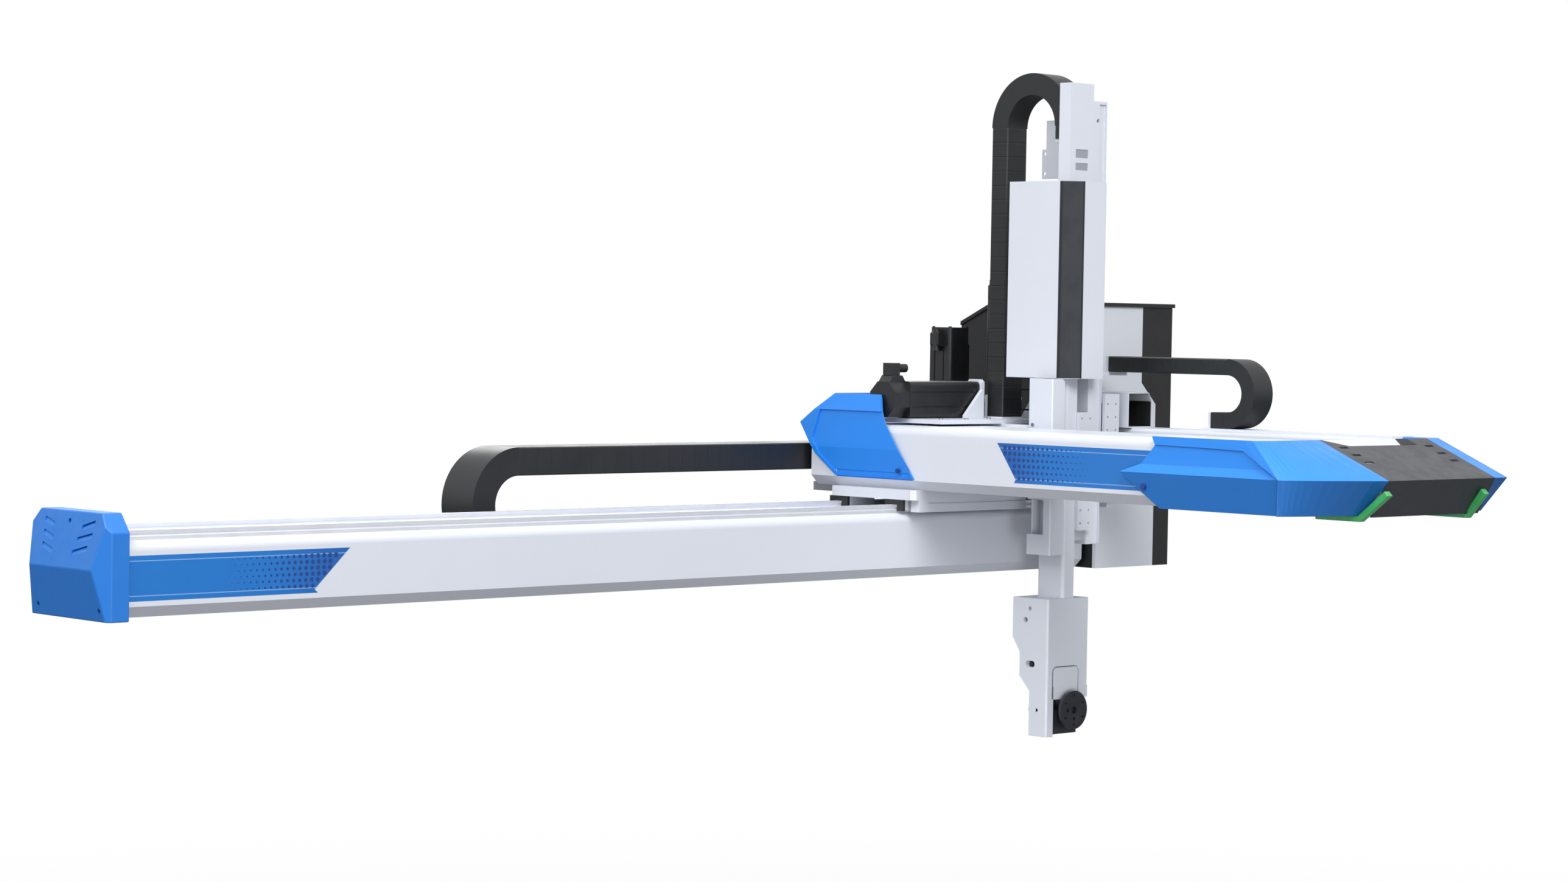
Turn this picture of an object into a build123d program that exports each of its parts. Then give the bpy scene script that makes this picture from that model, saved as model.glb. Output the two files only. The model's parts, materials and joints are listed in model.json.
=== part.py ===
from build123d import *

import math
import os

# A cartesian robot for an injection moulding machine. +X runs along the traverse beam towards the
# cabinet, +Y away from the machine's mould, +Z up. The origin is the middle of the beam's foot, on
# its underside. All sizes are in millimetres.

# Beam profile, shared by the traverse beam and the demould beam
PROFILE_WIDTH = 280.0
TRAVERSE_HEIGHT = 175.0
DEMOULD_HEIGHT = 174.0
PROFILE_WALL = 9.0
PROFILE_TOP_RADIUS = 24.0
PROFILE_FOOT_CHAMFER = 26.0

# Traverse beam
TRAVERSE_START_X = -2625.0
FOOT_LENGTH = 560.0
FOOT_THICKNESS = 30.0
FOOT_BOLT_SPACING_X = 400.0
FOOT_BOLT_SPACING_Y = 200.0
FOOT_BOLT_RADIUS = 8.75

# Guide rails and their bearing blocks, large on the traverse beam and small elsewhere
RAIL_WIDTH = 23.0
RAIL_HEIGHT = 22.0
RAIL_SPACING = 216.0
BLOCK_WIDTH = 70.0
BLOCK_LENGTH = 96.0
BLOCK_HEIGHT = 36.0
SMALL_RAIL_WIDTH = 20.0
SMALL_RAIL_HEIGHT = 17.5
SMALL_BLOCK_WIDTH = 63.0
SMALL_BLOCK_LENGTH = 78.0
SMALL_BLOCK_HEIGHT = 30.0
BLOCK_LIFT = 5.0
RAIL_PLAY = 0.5
RAIL_END_MARGIN = 22.0
RACK_END_MARGIN = 32.0
RUNNING_GAP = 0.3

# Racks and pinions
GEAR_MODULE = 5.0
PINION_TEETH = 12
GEAR_BACKLASH = 0.8
PRESSURE_ANGLE = 20.0
RACK_FACE = 22.0
RACK_BACK = 12.0
PINION_BORE_RADIUS = 9.0

# Traverse carriage
CARRIAGE_START_X = -144.0
CARRIAGE_FRONT_Y = -182.0
CARRIAGE_REAR_Y = 146.0
CARRIAGE_THICKNESS = 27.0
SKIRT_DEPTH = 32.0
SKIRT_END_X = 307.0
SKIRT_DROP = 33.0
SKIRT_SLIT = 4.0
WIPER_THICKNESS = 9.0

# Traverse motor on the rear wing of the carriage
TRAVERSE_MOTOR_X = 364.0
TRAVERSE_MOTOR_SIDE = 86.0
TRAVERSE_MOTOR_TOP_Z = 682.0
WING_START_X = 300.0
WING_END_X = 430.0
WING_REAR_Y = 252.0

# Demould beam, across the carriage
DEMOULD_LEFT_X = -131.0
DEMOULD_REAR_Y = 233.0
DEMOULD_FRONT_Y = -1350.0
DEMOULD_RAIL_LOW = 42.0
DEMOULD_RAIL_PITCH = 96.0

# Levels and faces that follow from the stack of rail, block, plate and beam
RAIL_TOP_Z = TRAVERSE_HEIGHT + RAIL_HEIGHT
PLATE_BOTTOM_Z = TRAVERSE_HEIGHT + BLOCK_HEIGHT
PLATE_TOP_Z = PLATE_BOTTOM_Z + CARRIAGE_THICKNESS
DEMOULD_TOP_Z = PLATE_TOP_Z + DEMOULD_HEIGHT
DEMOULD_RIGHT_X = DEMOULD_LEFT_X + PROFILE_WIDTH
DEMOULD_CENTRE_X = DEMOULD_LEFT_X + PROFILE_WIDTH / 2
BEAM_HALF = PROFILE_WIDTH / 2
ARM_BLOCK_OUT_X = DEMOULD_RIGHT_X + SMALL_BLOCK_HEIGHT
CARRIAGE_END_X = DEMOULD_RIGHT_X + 445.0
TRAVERSE_END_X = CARRIAGE_END_X - 4.0
PITCH = math.pi * GEAR_MODULE
PINION_RADIUS = GEAR_MODULE * PINION_TEETH / 2

# Blue moulded covers
COVER_WALL = 4.0
COVER_GAP = 0.3
COVER_BULGE = 13.0
PANEL_STEP = 5.0
NOSE_REAR_Y = -915.0
NOSE_TOP_REAR_Y = -1020.0
NOSE_BOTTOM_REAR_Y = -1048.0
NOSE_SHOULDER_Y = -1365.0
NOSE_TIP_Y = -1584.0
NOSE_TIP_Z = DEMOULD_TOP_Z - 89.0
NOSE_BOTTOM_FRONT_Y = -1505.0
NOSE_PLATE_LEFT_X = DEMOULD_RIGHT_X - 45.0
NOSE_PLATE_RIGHT_X = DEMOULD_RIGHT_X + 401.0
NOSE_PLATE_THICKNESS = 4.0
LIGHT_STRIP_WIDTH = 19.0
LIGHT_STRIP_THICKNESS = 13.0

# Tray beam on the far side of the arm, which carries the demould chain
TRAY_LEFT_X = DEMOULD_RIGHT_X + 322.0
TRAY_RIGHT_X = DEMOULD_RIGHT_X + 445.0
TRAY_TOP_Z = DEMOULD_TOP_Z
TRAY_HEIGHT = 84.0
TRAY_FRONT_Y = -1350.0
TRAY_WALL = 6.0
CHAIN_LINER = 7.0
HOSE_BOX_LEFT_X = DEMOULD_RIGHT_X + 307.0
HOSE_BOX_WIDTH = 100.0
HOSE_BOX_HEIGHT = 98.0
HOSE_BOX_FRONT_Y = -422.0
HOSE_BOX_LENGTH = 150.0

# Arm carriage, which slides along the demould beam
SIDE_PLATE_THICKNESS = 18.0
SIDE_PLATE_FRONT_Y = -312.0
SIDE_PLATE_REAR_Y = 30.0
BASE_PLATE_THICKNESS = 12.0
BASE_PLATE_GAP = 6.0
COLUMN_LEFT_X = DEMOULD_RIGHT_X + 19.0
COLUMN_RIGHT_X = DEMOULD_RIGHT_X + 73.0
COLUMN_FRONT_Y = -400.0
COLUMN_BOTTOM_Z = DEMOULD_TOP_Z - 348.0
COLUMN_TOP_Z = DEMOULD_TOP_Z + 135.0
COLUMN_RECESS_BOTTOM_Z = DEMOULD_TOP_Z - 292.0
COLUMN_RECESS_TOP_Z = DEMOULD_TOP_Z - 197.0
BASE_PLATE_LEFT_X = DEMOULD_RIGHT_X - 209.0
RIGHT_PLATE_LOW_Z = DEMOULD_TOP_Z - 222.0
RIGHT_PLATE_TOP_Z = DEMOULD_TOP_Z + 93.0
DEMOULD_TRAVEL_REAR = 70.0
TRAVEL_ROOM = 6.0
FRONT_PLATE_THICKNESS = 10.0
PLATE_HOLE_RADIUS = 3.2
PLATE_HOLE_PITCH = 36.0
ARM_GAP = 3.0

# Arm cover
ARM_COVER_LEFT_X = DEMOULD_RIGHT_X + 51.0
ARM_COVER_RIGHT_X = DEMOULD_RIGHT_X + 185.0
ARM_COVER_FRONT_Y = -434.0
ARM_COVER_REAR_Y = -196.0
ARM_COVER_BOTTOM_Z = DEMOULD_TOP_Z + 136.0
ARM_COVER_TOP_Z = DEMOULD_TOP_Z + 676.0
ARM_COVER_CHAMFER = 39.0
SHEET = 3.0

# Lift motor
LIFT_MOTOR_SIDE = 100.0
LIFT_MOTOR_END_X = DEMOULD_RIGHT_X - 273.0
LIFT_MOTOR_Y = -37.0
LIFT_MOTOR_Z = DEMOULD_TOP_Z + 70.0
LIFT_FLANGE_X = DEMOULD_RIGHT_X + 60.0
LIFT_FLANGE_THICKNESS = 14.0
LIFT_FLANGE_TOP_Z = DEMOULD_TOP_Z + 163.0
GUSSET_THICKNESS = 10.0

# Demould motor on the base plate
DEMOULD_MOTOR_SIDE = 86.0
DEMOULD_MOTOR_Y = 18.0
DEMOULD_MOTOR_BASE_Z = DEMOULD_TOP_Z + 148.0
DEMOULD_MOTOR_TOP_Z = DEMOULD_TOP_Z + 408.0

# Belt from the lift motor's shaft to the lift pinion
PULLEY_RADIUS = 26.0
BELT_THICKNESS = 4.0
BELT_WIDTH = 18.0
BELT_LEFT_X = DEMOULD_RIGHT_X + 207.0

# Outer stage of the arm
OUTER_LEFT_X = DEMOULD_RIGHT_X + 175.0
OUTER_RIGHT_X = DEMOULD_RIGHT_X + 231.0
OUTER_FRONT_Y = -390.0
OUTER_REAR_Y = -290.0
OUTER_BOTTOM_Z = DEMOULD_TOP_Z - 322.0
OUTER_TOP_Z = DEMOULD_TOP_Z + 899.0
OUTER_WALL = 8.0
GUARD_LEFT_X = DEMOULD_RIGHT_X + 81.0
GUARD_BOTTOM_Z = DEMOULD_TOP_Z + 678.0
GUARD_TOP_Z = DEMOULD_TOP_Z + 945.0

# Inner stage of the arm
INNER_LEFT_X = DEMOULD_RIGHT_X + 81.0
INNER_RIGHT_X = DEMOULD_RIGHT_X + 125.0
INNER_FRONT_Y = -395.0
INNER_REAR_Y = -299.0
INNER_TOP_Z = DEMOULD_TOP_Z + 638.0
INNER_WALL = 5.0
WRIST_TOP_Z = DEMOULD_TOP_Z - 468.0

# Wrist
WRIST_LEFT_X = DEMOULD_RIGHT_X + 16.0
WRIST_RIGHT_X = DEMOULD_RIGHT_X + 182.0
WRIST_FRONT_Y = -402.0
WRIST_REAR_Y = -272.0
WRIST_BOTTOM_Z = DEMOULD_TOP_Z - 846.0
WRIST_WALL = 14.0
PIVOT_Y = -350.0
PIVOT_Z = DEMOULD_TOP_Z - 773.0
PIVOT_RADIUS = 14.0
TOOL_DISC_RADIUS = 53.0
TOOL_DISC_THICKNESS = 10.0
TOOL_DISC_FRONT_Y = -430.0
TOOL_BOLT_CIRCLE = 80.0
TOOL_BOLT_RADIUS = 3.3
TOOL_BOLT_COUNT = 6
TOOL_BORE_RADIUS = 10.0

# Energy chains
TRAVERSE_CHAIN_WIDTH = 131.0
TRAVERSE_CHAIN_HEIGHT = 74.0
TRAVERSE_CHAIN_RADIUS = 76.0
TRAVERSE_CHAIN_Y = 250.0
TRAVERSE_CHAIN_TOP_Z = 352.0
TRAVERSE_BEND_X = -1168.0
TRAVERSE_CHAIN_END_X = 60.0
TRAVERSE_CHAIN_FIXED_X = -1085.0
DEMOULD_CHAIN_WIDTH = 80.0
DEMOULD_CHAIN_HEIGHT = 44.0
DEMOULD_CHAIN_RADIUS = 51.0
DEMOULD_CHAIN_X = DEMOULD_RIGHT_X + 359.0
DEMOULD_BEND_Y = -730.0
DEMOULD_CHAIN_END_Y = -300.0
DEMOULD_CHAIN_FIXED_Y = -675.0
LIFT_CHAIN_WIDTH = 80.0
LIFT_CHAIN_HEIGHT = 60.0
LIFT_CHAIN_RADIUS = 88.0
LIFT_CHAIN_X = DEMOULD_RIGHT_X + 91.0
LIFT_BEND_Z = DEMOULD_TOP_Z + 829.0
LIFT_CHAIN_END_Z = DEMOULD_TOP_Z + 794.0
LIFT_CHAIN_REAR_Y = -87.0

# Cabinet at the end of the traverse beam
CABINET_LEFT_X = TRAVERSE_END_X + 12.0
CABINET_WIDTH = 316.0
CABINET_FRONT_Y = -170.0
CABINET_REAR_Y = 365.0
CABINET_TOP_Z = 749.0
DOOR_THICKNESS = 12.0
HOOD_THICKNESS = 11.0

# Faces that follow from the sizes above
TRAY_BOTTOM_Z = TRAY_TOP_Z - TRAY_HEIGHT
CABINET_RIGHT_X = CABINET_LEFT_X + CABINET_WIDTH
RIGHT_PLATE_X = OUTER_RIGHT_X + SMALL_BLOCK_HEIGHT


def block(x0, x1, y0, y1, z0, z1):
    """A rectangular solid between two corners."""
    middle = ((x0 + x1) / 2, (y0 + y1) / 2, (z0 + z1) / 2)
    return Pos(*middle) * Box(x1 - x0, y1 - y0, z1 - z0)


def rod(axis, radius, start, end, a, b):
    """A round bar along X, Y or Z from start to end, at the other two coordinates a and b."""
    body = Cylinder(radius, end - start)
    middle = (start + end) / 2
    if axis == "x":
        return Pos(middle, a, b) * Rot(0, 90, 0) * body
    if axis == "y":
        return Pos(a, middle, b) * Rot(90, 0, 0) * body
    return Pos(a, b, middle) * body


def prism(axis, points, start, end, corner=0.0):
    """An outline in the two other axes, drawn out along one axis from start to end."""
    face = make_face(Polyline(*points, close=True))
    if corner:
        face = fillet(face.vertices(), corner)
    if axis == "x":
        return extrude(Plane.YZ.offset(start) * face, end - start)
    if axis == "y":
        return extrude(Plane.XZ.offset(-end) * face, end - start)
    return extrude(Plane.XY.offset(start) * face, end - start)


def beam_section(height):
    """The hollow beam profile, with round top corners, a bevelled foot and a middle web."""
    half = PROFILE_WIDTH / 2
    foot = PROFILE_FOOT_CHAMFER
    outline = make_face(
        Polyline((-half + foot, 0), (half - foot, 0), (half, foot), (half, height),
                 (-half, height), (-half, foot), close=True))
    top = outline.vertices().group_by(Axis.Y)[-1]
    outline = fillet(top, PROFILE_TOP_RADIUS)
    hollow = offset(outline, amount=-PROFILE_WALL, kind=Kind.INTERSECTION)
    web = Pos(0, height / 2) * Rectangle(PROFILE_WALL, height)
    return outline - (hollow - web)


def rack(length, back, depth):
    """A straight rack along +X: its pitch line on y = 0, teeth towards +Y, its back at y = -back."""
    half_tooth = PITCH / 4 - GEAR_BACKLASH / 2
    slope = math.tan(math.radians(PRESSURE_ANGLE))
    tip = GEAR_MODULE * 0.95
    root = GEAR_MODULE * 1.25
    count = int(length // PITCH)
    points = [(0, -back), (length, -back), (length, -root)]
    for i in reversed(range(count)):
        middle = (i + 0.5) * PITCH
        points += [(middle + half_tooth + slope * root, -root), (middle + half_tooth - slope * tip, tip),
                   (middle - half_tooth + slope * tip, tip), (middle - half_tooth - slope * root, -root)]
    points.append((0, -root))
    return extrude(make_face(Polyline(*points, close=True)), depth)


def pinion(face_width, bore):
    """A pinion about +Z, from z = 0 up, with the middle of a gap on its +Y side."""
    tip = PINION_RADIUS + GEAR_MODULE * 0.95
    root = PINION_RADIUS - GEAR_MODULE * 1.25
    half_angle = 90.0 / PINION_TEETH
    points = []
    for i in range(PINION_TEETH):
        middle = 90 + (i + 0.5) * 360 / PINION_TEETH
        for radius, share in ((root, -1.45), (PINION_RADIUS, -0.92), (tip, -0.4),
                              (tip, 0.4), (PINION_RADIUS, 0.92), (root, 1.45)):
            angle = math.radians(middle + share * half_angle)
            points.append((radius * math.cos(angle), radius * math.sin(angle)))
    gear = extrude(make_face(Polyline(*points, close=True)), face_width)
    return gear - Pos(0, 0, face_width / 2) * Cylinder(bore, face_width * 2)


def tooth_middle(start, near):
    """The middle of the rack tooth closest to a place, on a rack whose teeth begin at start."""
    return start + (round((near - start) / PITCH - 0.5) + 0.5) * PITCH


def traverse_beam():
    """The long hollow beam, with the foot plate that bolts to the machine."""
    profile = Plane.YZ.offset(TRAVERSE_START_X) * beam_section(TRAVERSE_HEIGHT)
    body = extrude(profile, TRAVERSE_END_X - TRAVERSE_START_X)
    reach = PROFILE_WIDTH / 2 - PROFILE_FOOT_CHAMFER - PROFILE_WALL / 2
    foot = block(-FOOT_LENGTH / 2, FOOT_LENGTH / 2, -reach, reach, 0, FOOT_THICKNESS)
    body += foot
    for x in (-FOOT_BOLT_SPACING_X / 2, FOOT_BOLT_SPACING_X / 2):
        for y in (-FOOT_BOLT_SPACING_Y / 2, FOOT_BOLT_SPACING_Y / 2):
            body -= rod("z", FOOT_BOLT_RADIUS, -1, FOOT_THICKNESS + 1, x, y)
    return body


def rail_bar(width, height, length):
    """A profiled guide rail along +X on z = 0, waisted on both sides."""
    half = width / 2
    waist = width * 0.13
    points = [(-half, 0), (half, 0), (half, height * 0.35), (half - waist, height * 0.5),
              (half, height * 0.7),
              (half, height), (-half, height), (-half, height * 0.7), (-half + waist, height * 0.5),
              (-half, height * 0.35)]
    return prism("x", points, 0, length)


def rail_block(width, length, height, rail_width, rail_height):
    """A bearing block along +X over a rail that stands on z = 0, centred on x = 0."""
    half = width / 2
    body = block(-length / 2, length / 2, -half, half, BLOCK_LIFT, height)
    body = chamfer(body.edges().filter_by(Axis.X).group_by(Axis.Z)[0], 3)
    slot = rail_width / 2 + RAIL_PLAY
    body -= block(-length, length, -slot, slot, 0, rail_height + RAIL_PLAY)
    for x in (-length * 0.3, length * 0.3):
        for y in (-half + 7, half - 7):
            body -= rod("z", 3.5, height - 14, height + 1, x, y)
    return body


def small_block():
    """One bearing block of the small size, used on the arm."""
    return rail_block(SMALL_BLOCK_WIDTH, SMALL_BLOCK_LENGTH, SMALL_BLOCK_HEIGHT, SMALL_RAIL_WIDTH,
                      SMALL_RAIL_HEIGHT)


def traverse_rails():
    """The two rails on the traverse beam's top."""
    start = TRAVERSE_START_X + RAIL_END_MARGIN
    length = TRAVERSE_END_X - RAIL_END_MARGIN - start
    bar = rail_bar(RAIL_WIDTH, RAIL_HEIGHT, length)
    rails = [Pos(start, y, TRAVERSE_HEIGHT) * bar for y in (-RAIL_SPACING / 2, RAIL_SPACING / 2)]
    return Compound(children=rails)


def traverse_rack():
    """The rack on the traverse beam's rear face."""
    start = TRAVERSE_START_X + RACK_END_MARGIN
    length = TRAVERSE_END_X - RACK_END_MARGIN - start
    top = TRAVERSE_HEIGHT - PROFILE_TOP_RADIUS
    return Pos(start, BEAM_HALF + RACK_BACK, top - RACK_FACE) * rack(length, RACK_BACK, RACK_FACE)


def end_cap():
    """The moulded cap on the free end of the traverse beam, with three pairs of slanted grooves."""
    lip = 7.0
    half = BEAM_HALF + lip
    top = 237.0
    inner_x = TRAVERSE_START_X
    crease_x = inner_x - 55.0
    side = [(inner_x + 26, -lip), (inner_x + 26, top), (inner_x - 25, top), (crease_x, 109),
            (inner_x - 31, -lip)]
    front = [(-half, -lip), (half, -lip), (half, top - 43), (half - 35, top), (35 - half, top),
             (-half, top - 43)]
    body = prism("y", side, -half, half) & prism("x", front, crease_x, inner_x + 26, 3)
    body = fillet(body.edges().filter_by(Axis.Y).group_by(Axis.X)[0], 12)
    fit = BEAM_HALF + RUNNING_GAP
    room = [(-fit, -RUNNING_GAP), (fit, -RUNNING_GAP), (fit, top - 45), (fit - 34, top - 5),
            (34 - fit, top - 5),
            (-fit, top - 45)]
    body -= prism("x", room, inner_x - 1, inner_x + 40)
    body -= block(inner_x - 1, inner_x + 40, -half - 1, half + 1, -lip - 1, 0)
    hollow = prism("y", [(x + 5, z) for x, z in side], -half + 6, half - 6)
    body -= hollow & prism("x", [(y * 0.94, z) for y, z in room], crease_x, inner_x + 20)
    for i in range(3):
        low = 133.0 + 27.0 * i
        for side_sign in (-1, 1):
            groove = prism("x", [(34, low), (76, low + 34), (76, low + 42), (34, low + 8)], crease_x,
                           inner_x - 31)
            groove = groove if side_sign > 0 else mirror(groove, Plane.XZ)
            body -= groove & Pos(-40.5, 0, 0) * prism("y", side, -half, half)
    for y, z in ((0, top - 19), (118 - half, 22), (half - 24, 22)):
        body -= rod("x", 5, crease_x - 1, inner_x + 1, y, z)
    return body


def chain_arc(width, height, inner_radius, start_angle):
    """A quarter turn of an energy chain about the Y axis through the origin."""
    ring = Cylinder(inner_radius + height, width) - Cylinder(inner_radius, width)
    reach = (inner_radius + height) * 2
    wedge = Pos(reach / 2, reach / 2, 0) * Box(reach, reach, width * 2)
    quarter = Rot(0, 0, start_angle) * wedge & ring
    return Rot(90, 0, 0) * quarter


def traverse_bend_centre_z():
    """The height of the middle of the traverse chain's bend."""
    return TRAVERSE_CHAIN_TOP_Z - TRAVERSE_CHAIN_HEIGHT - TRAVERSE_CHAIN_RADIUS


def traverse_chain(piece):
    """One stretch of the traverse energy chain: upper or lower run, or upper or lower half of its bend."""
    middle_z = traverse_bend_centre_z()
    y0, y1 = TRAVERSE_CHAIN_Y, TRAVERSE_CHAIN_Y + TRAVERSE_CHAIN_WIDTH
    radius = TRAVERSE_CHAIN_RADIUS
    outer = radius + TRAVERSE_CHAIN_HEIGHT
    if piece == "upper":
        return block(TRAVERSE_BEND_X, TRAVERSE_CHAIN_END_X, y0, y1, middle_z + radius, middle_z + outer)
    if piece == "lower":
        return block(TRAVERSE_BEND_X, TRAVERSE_CHAIN_FIXED_X, y0, y1, middle_z - outer, middle_z - radius)
    start = 90 if piece == "bend_upper" else 180
    arc = chain_arc(TRAVERSE_CHAIN_WIDTH, TRAVERSE_CHAIN_HEIGHT, radius, start)
    return Pos(TRAVERSE_BEND_X, (y0 + y1) / 2, middle_z) * arc


def chain_tray():
    """The folded tray behind the beam in which the traverse chain lies, with its brackets."""
    floor_z = traverse_bend_centre_z() - TRAVERSE_CHAIN_RADIUS - TRAVERSE_CHAIN_HEIGHT - RUNNING_GAP
    start = TRAVERSE_START_X + 80
    end = TRAVERSE_CHAIN_FIXED_X + 60
    y0, y1 = TRAVERSE_CHAIN_Y - 6, TRAVERSE_CHAIN_Y + TRAVERSE_CHAIN_WIDTH + 6
    body = block(start, end, y0, y1, floor_z - SHEET, floor_z)
    for y in (y0, y1 - SHEET):
        body += block(start, end, y, y + SHEET, floor_z - SHEET, floor_z + 40)
    count = 4
    for i in range(count):
        x = start + 60 + i * (end - start - 160) / (count - 1)
        arm = prism("x", [(BEAM_HALF, floor_z - SHEET), (y1, floor_z - SHEET), (y1, floor_z - 12),
                          (BEAM_HALF + 10, PROFILE_FOOT_CHAMFER + 2),
                          (BEAM_HALF, PROFILE_FOOT_CHAMFER + 2)],
                    x, x + 40)
        body += arm
    stop = block(TRAVERSE_CHAIN_FIXED_X + RUNNING_GAP, TRAVERSE_CHAIN_FIXED_X + 8, y0 + SHEET, y1 - SHEET,
                 floor_z, floor_z + TRAVERSE_CHAIN_HEIGHT)
    return body + stop


def cabinet_bracket():
    """The end plate that carries the cabinet on the beam's end."""
    half = BEAM_HALF - 20
    return block(TRAVERSE_END_X, CABINET_LEFT_X, -half, half, PROFILE_FOOT_CHAMFER, TRAVERSE_HEIGHT - 20)


def cabinet_carcass():
    """The black cabinet body, closed behind the door, with a sloping rear top."""
    slope_start = CABINET_REAR_Y - 130
    side = [(CABINET_FRONT_Y, 0), (CABINET_REAR_Y, 0), (CABINET_REAR_Y, CABINET_TOP_Z - 60),
            (slope_start, CABINET_TOP_Z), (CABINET_FRONT_Y, CABINET_TOP_Z)]
    return prism("x", side, CABINET_LEFT_X, CABINET_RIGHT_X)


def door_outline():
    """The white door's outline in X and Z, with the step on its right edge."""
    left = CABINET_LEFT_X
    return [(left, 0), (left + 249, 0), (left + 249, 469), (left + 186, 531), (left + 186, CABINET_TOP_Z),
            (left, CABINET_TOP_Z)]


def cabinet_door():
    """The white cabinet door."""
    return prism("y", door_outline(), CABINET_FRONT_Y - DOOR_THICKNESS, CABINET_FRONT_Y)


def cabinet_trim():
    """The black strip beside the door."""
    outline = door_outline()
    points = [(x + 1.5, z) for x, z in outline[1:5]]
    points += [(CABINET_RIGHT_X, CABINET_TOP_Z), (CABINET_RIGHT_X, 0)]
    return prism("y", points, CABINET_FRONT_Y - DOOR_THICKNESS, CABINET_FRONT_Y)


def cabinet_hood():
    """The thin dark lid that follows the cabinet's top and overhangs it."""
    front = CABINET_FRONT_Y - DOOR_THICKNESS - 6
    slope_start = CABINET_REAR_Y - 130
    lid = [(front, CABINET_TOP_Z), (slope_start, CABINET_TOP_Z), (CABINET_REAR_Y, CABINET_TOP_Z - 60),
           (CABINET_REAR_Y, CABINET_TOP_Z - 60 + HOOD_THICKNESS),
           (slope_start, CABINET_TOP_Z + HOOD_THICKNESS),
           (front, CABINET_TOP_Z + HOOD_THICKNESS)]
    return prism("x", lid, CABINET_LEFT_X - 5, CABINET_RIGHT_X + 5)


def carriage_plate():
    """The machined carriage plate with its front skirt, rear wing and chain arm."""
    body = block(CARRIAGE_START_X, CARRIAGE_END_X, CARRIAGE_FRONT_Y, CARRIAGE_REAR_Y, PLATE_BOTTOM_Z,
                 PLATE_TOP_Z)
    body = chamfer(body.edges().filter_by(Axis.Z), 12)
    skirt_top = PLATE_TOP_Z - SKIRT_DROP
    body += block(CARRIAGE_START_X + 24, SKIRT_END_X, CARRIAGE_FRONT_Y, CARRIAGE_FRONT_Y + SKIRT_DEPTH,
                  TRAVERSE_HEIGHT + 3, PLATE_TOP_Z)
    body -= block(CARRIAGE_START_X + 60, SKIRT_END_X - 18, CARRIAGE_FRONT_Y - 1, CARRIAGE_FRONT_Y + 4,
                  skirt_top - SKIRT_SLIT, skirt_top)
    body += prism("z", [(WING_START_X - 30, CARRIAGE_REAR_Y), (WING_START_X, WING_REAR_Y - 30),
                        (WING_START_X, WING_REAR_Y), (WING_END_X, WING_REAR_Y),
                        (WING_END_X, WING_REAR_Y - 30),
                        (WING_END_X + 30, CARRIAGE_REAR_Y)], PLATE_BOTTOM_Z, PLATE_TOP_Z)
    body -= rod("z", PINION_BORE_RADIUS + 3, PLATE_BOTTOM_Z - 1, PLATE_TOP_Z + 1, TRAVERSE_MOTOR_X,
                pinion_y())
    arm_start = TRAVERSE_CHAIN_END_X - 40
    rear = TRAVERSE_CHAIN_Y + TRAVERSE_CHAIN_WIDTH
    body += block(arm_start, arm_start + 120, CARRIAGE_REAR_Y, rear, PLATE_BOTTOM_Z, PLATE_TOP_Z - 2)
    body += block(TRAVERSE_CHAIN_END_X + RUNNING_GAP, TRAVERSE_CHAIN_END_X + 12, TRAVERSE_CHAIN_Y, rear,
                  PLATE_TOP_Z - 4, TRAVERSE_CHAIN_TOP_Z)
    return body


def pinion_y():
    """The traverse pinion's axis, where it meshes with the rack on the beam's rear face."""
    return BEAM_HALF + RACK_BACK + PINION_RADIUS


def block_places():
    """The middles of the four carriage blocks in X and Y."""
    half = BLOCK_LENGTH / 2
    for x in (CARRIAGE_START_X + WIPER_THICKNESS + half, CARRIAGE_END_X - WIPER_THICKNESS - half - 10):
        for y in (-RAIL_SPACING / 2, RAIL_SPACING / 2):
            yield x, y


def carriage_blocks():
    """The four bearing blocks under the carriage plate."""
    one = rail_block(BLOCK_WIDTH, BLOCK_LENGTH, BLOCK_HEIGHT, RAIL_WIDTH, RAIL_HEIGHT)
    return Compound(children=[Pos(x, y, TRAVERSE_HEIGHT) * one for x, y in block_places()])


def rail_wipers():
    """The black wipers on the outer ends of the four blocks."""
    half = BLOCK_WIDTH / 2
    slot = RAIL_WIDTH / 2 + RAIL_PLAY
    pieces = []
    for x, y in block_places():
        outward = -1 if x < (CARRIAGE_START_X + CARRIAGE_END_X) / 2 else 1
        near = x + outward * BLOCK_LENGTH / 2
        low, high = sorted((near, near + outward * WIPER_THICKNESS))
        plate = block(low, high, y - half, y + half, TRAVERSE_HEIGHT + BLOCK_LIFT,
                      PLATE_BOTTOM_Z - RUNNING_GAP)
        pieces.append(plate - block(low - 1, high + 1, y - slot, y + slot, 0, RAIL_TOP_Z + RAIL_PLAY))
    return Compound(children=pieces)


def servo_motor(side, length, rear, round_rear):
    """A servo motor standing on z = 0: a finned square body, a smaller rear housing and two connectors."""
    front = length - rear
    body = Pos(0, 0, front / 2) * Box(side, side, front)
    body = fillet(body.edges().filter_by(Axis.Z), side * 0.12)
    groove = side * 0.05
    for angle in range(0, 360, 90):
        for shift in (-0.2, 0.2):
            cut = Pos(side / 2, shift * side, front / 2 + 8) * Box(groove, groove, front - 34)
            body -= Rot(0, 0, angle) * cut
    if round_rear:
        cap = extrude(Plane.XY.offset(front) * RegularPolygon(side * 0.53, 8, rotation=22.5), rear)
    else:
        cap = Pos(0, 0, front + rear / 2) * Box(side * 0.94, side * 0.94, rear)
        cap = fillet(cap.edges().filter_by(Axis.Z), side * 0.12)
    return body + cap


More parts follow.
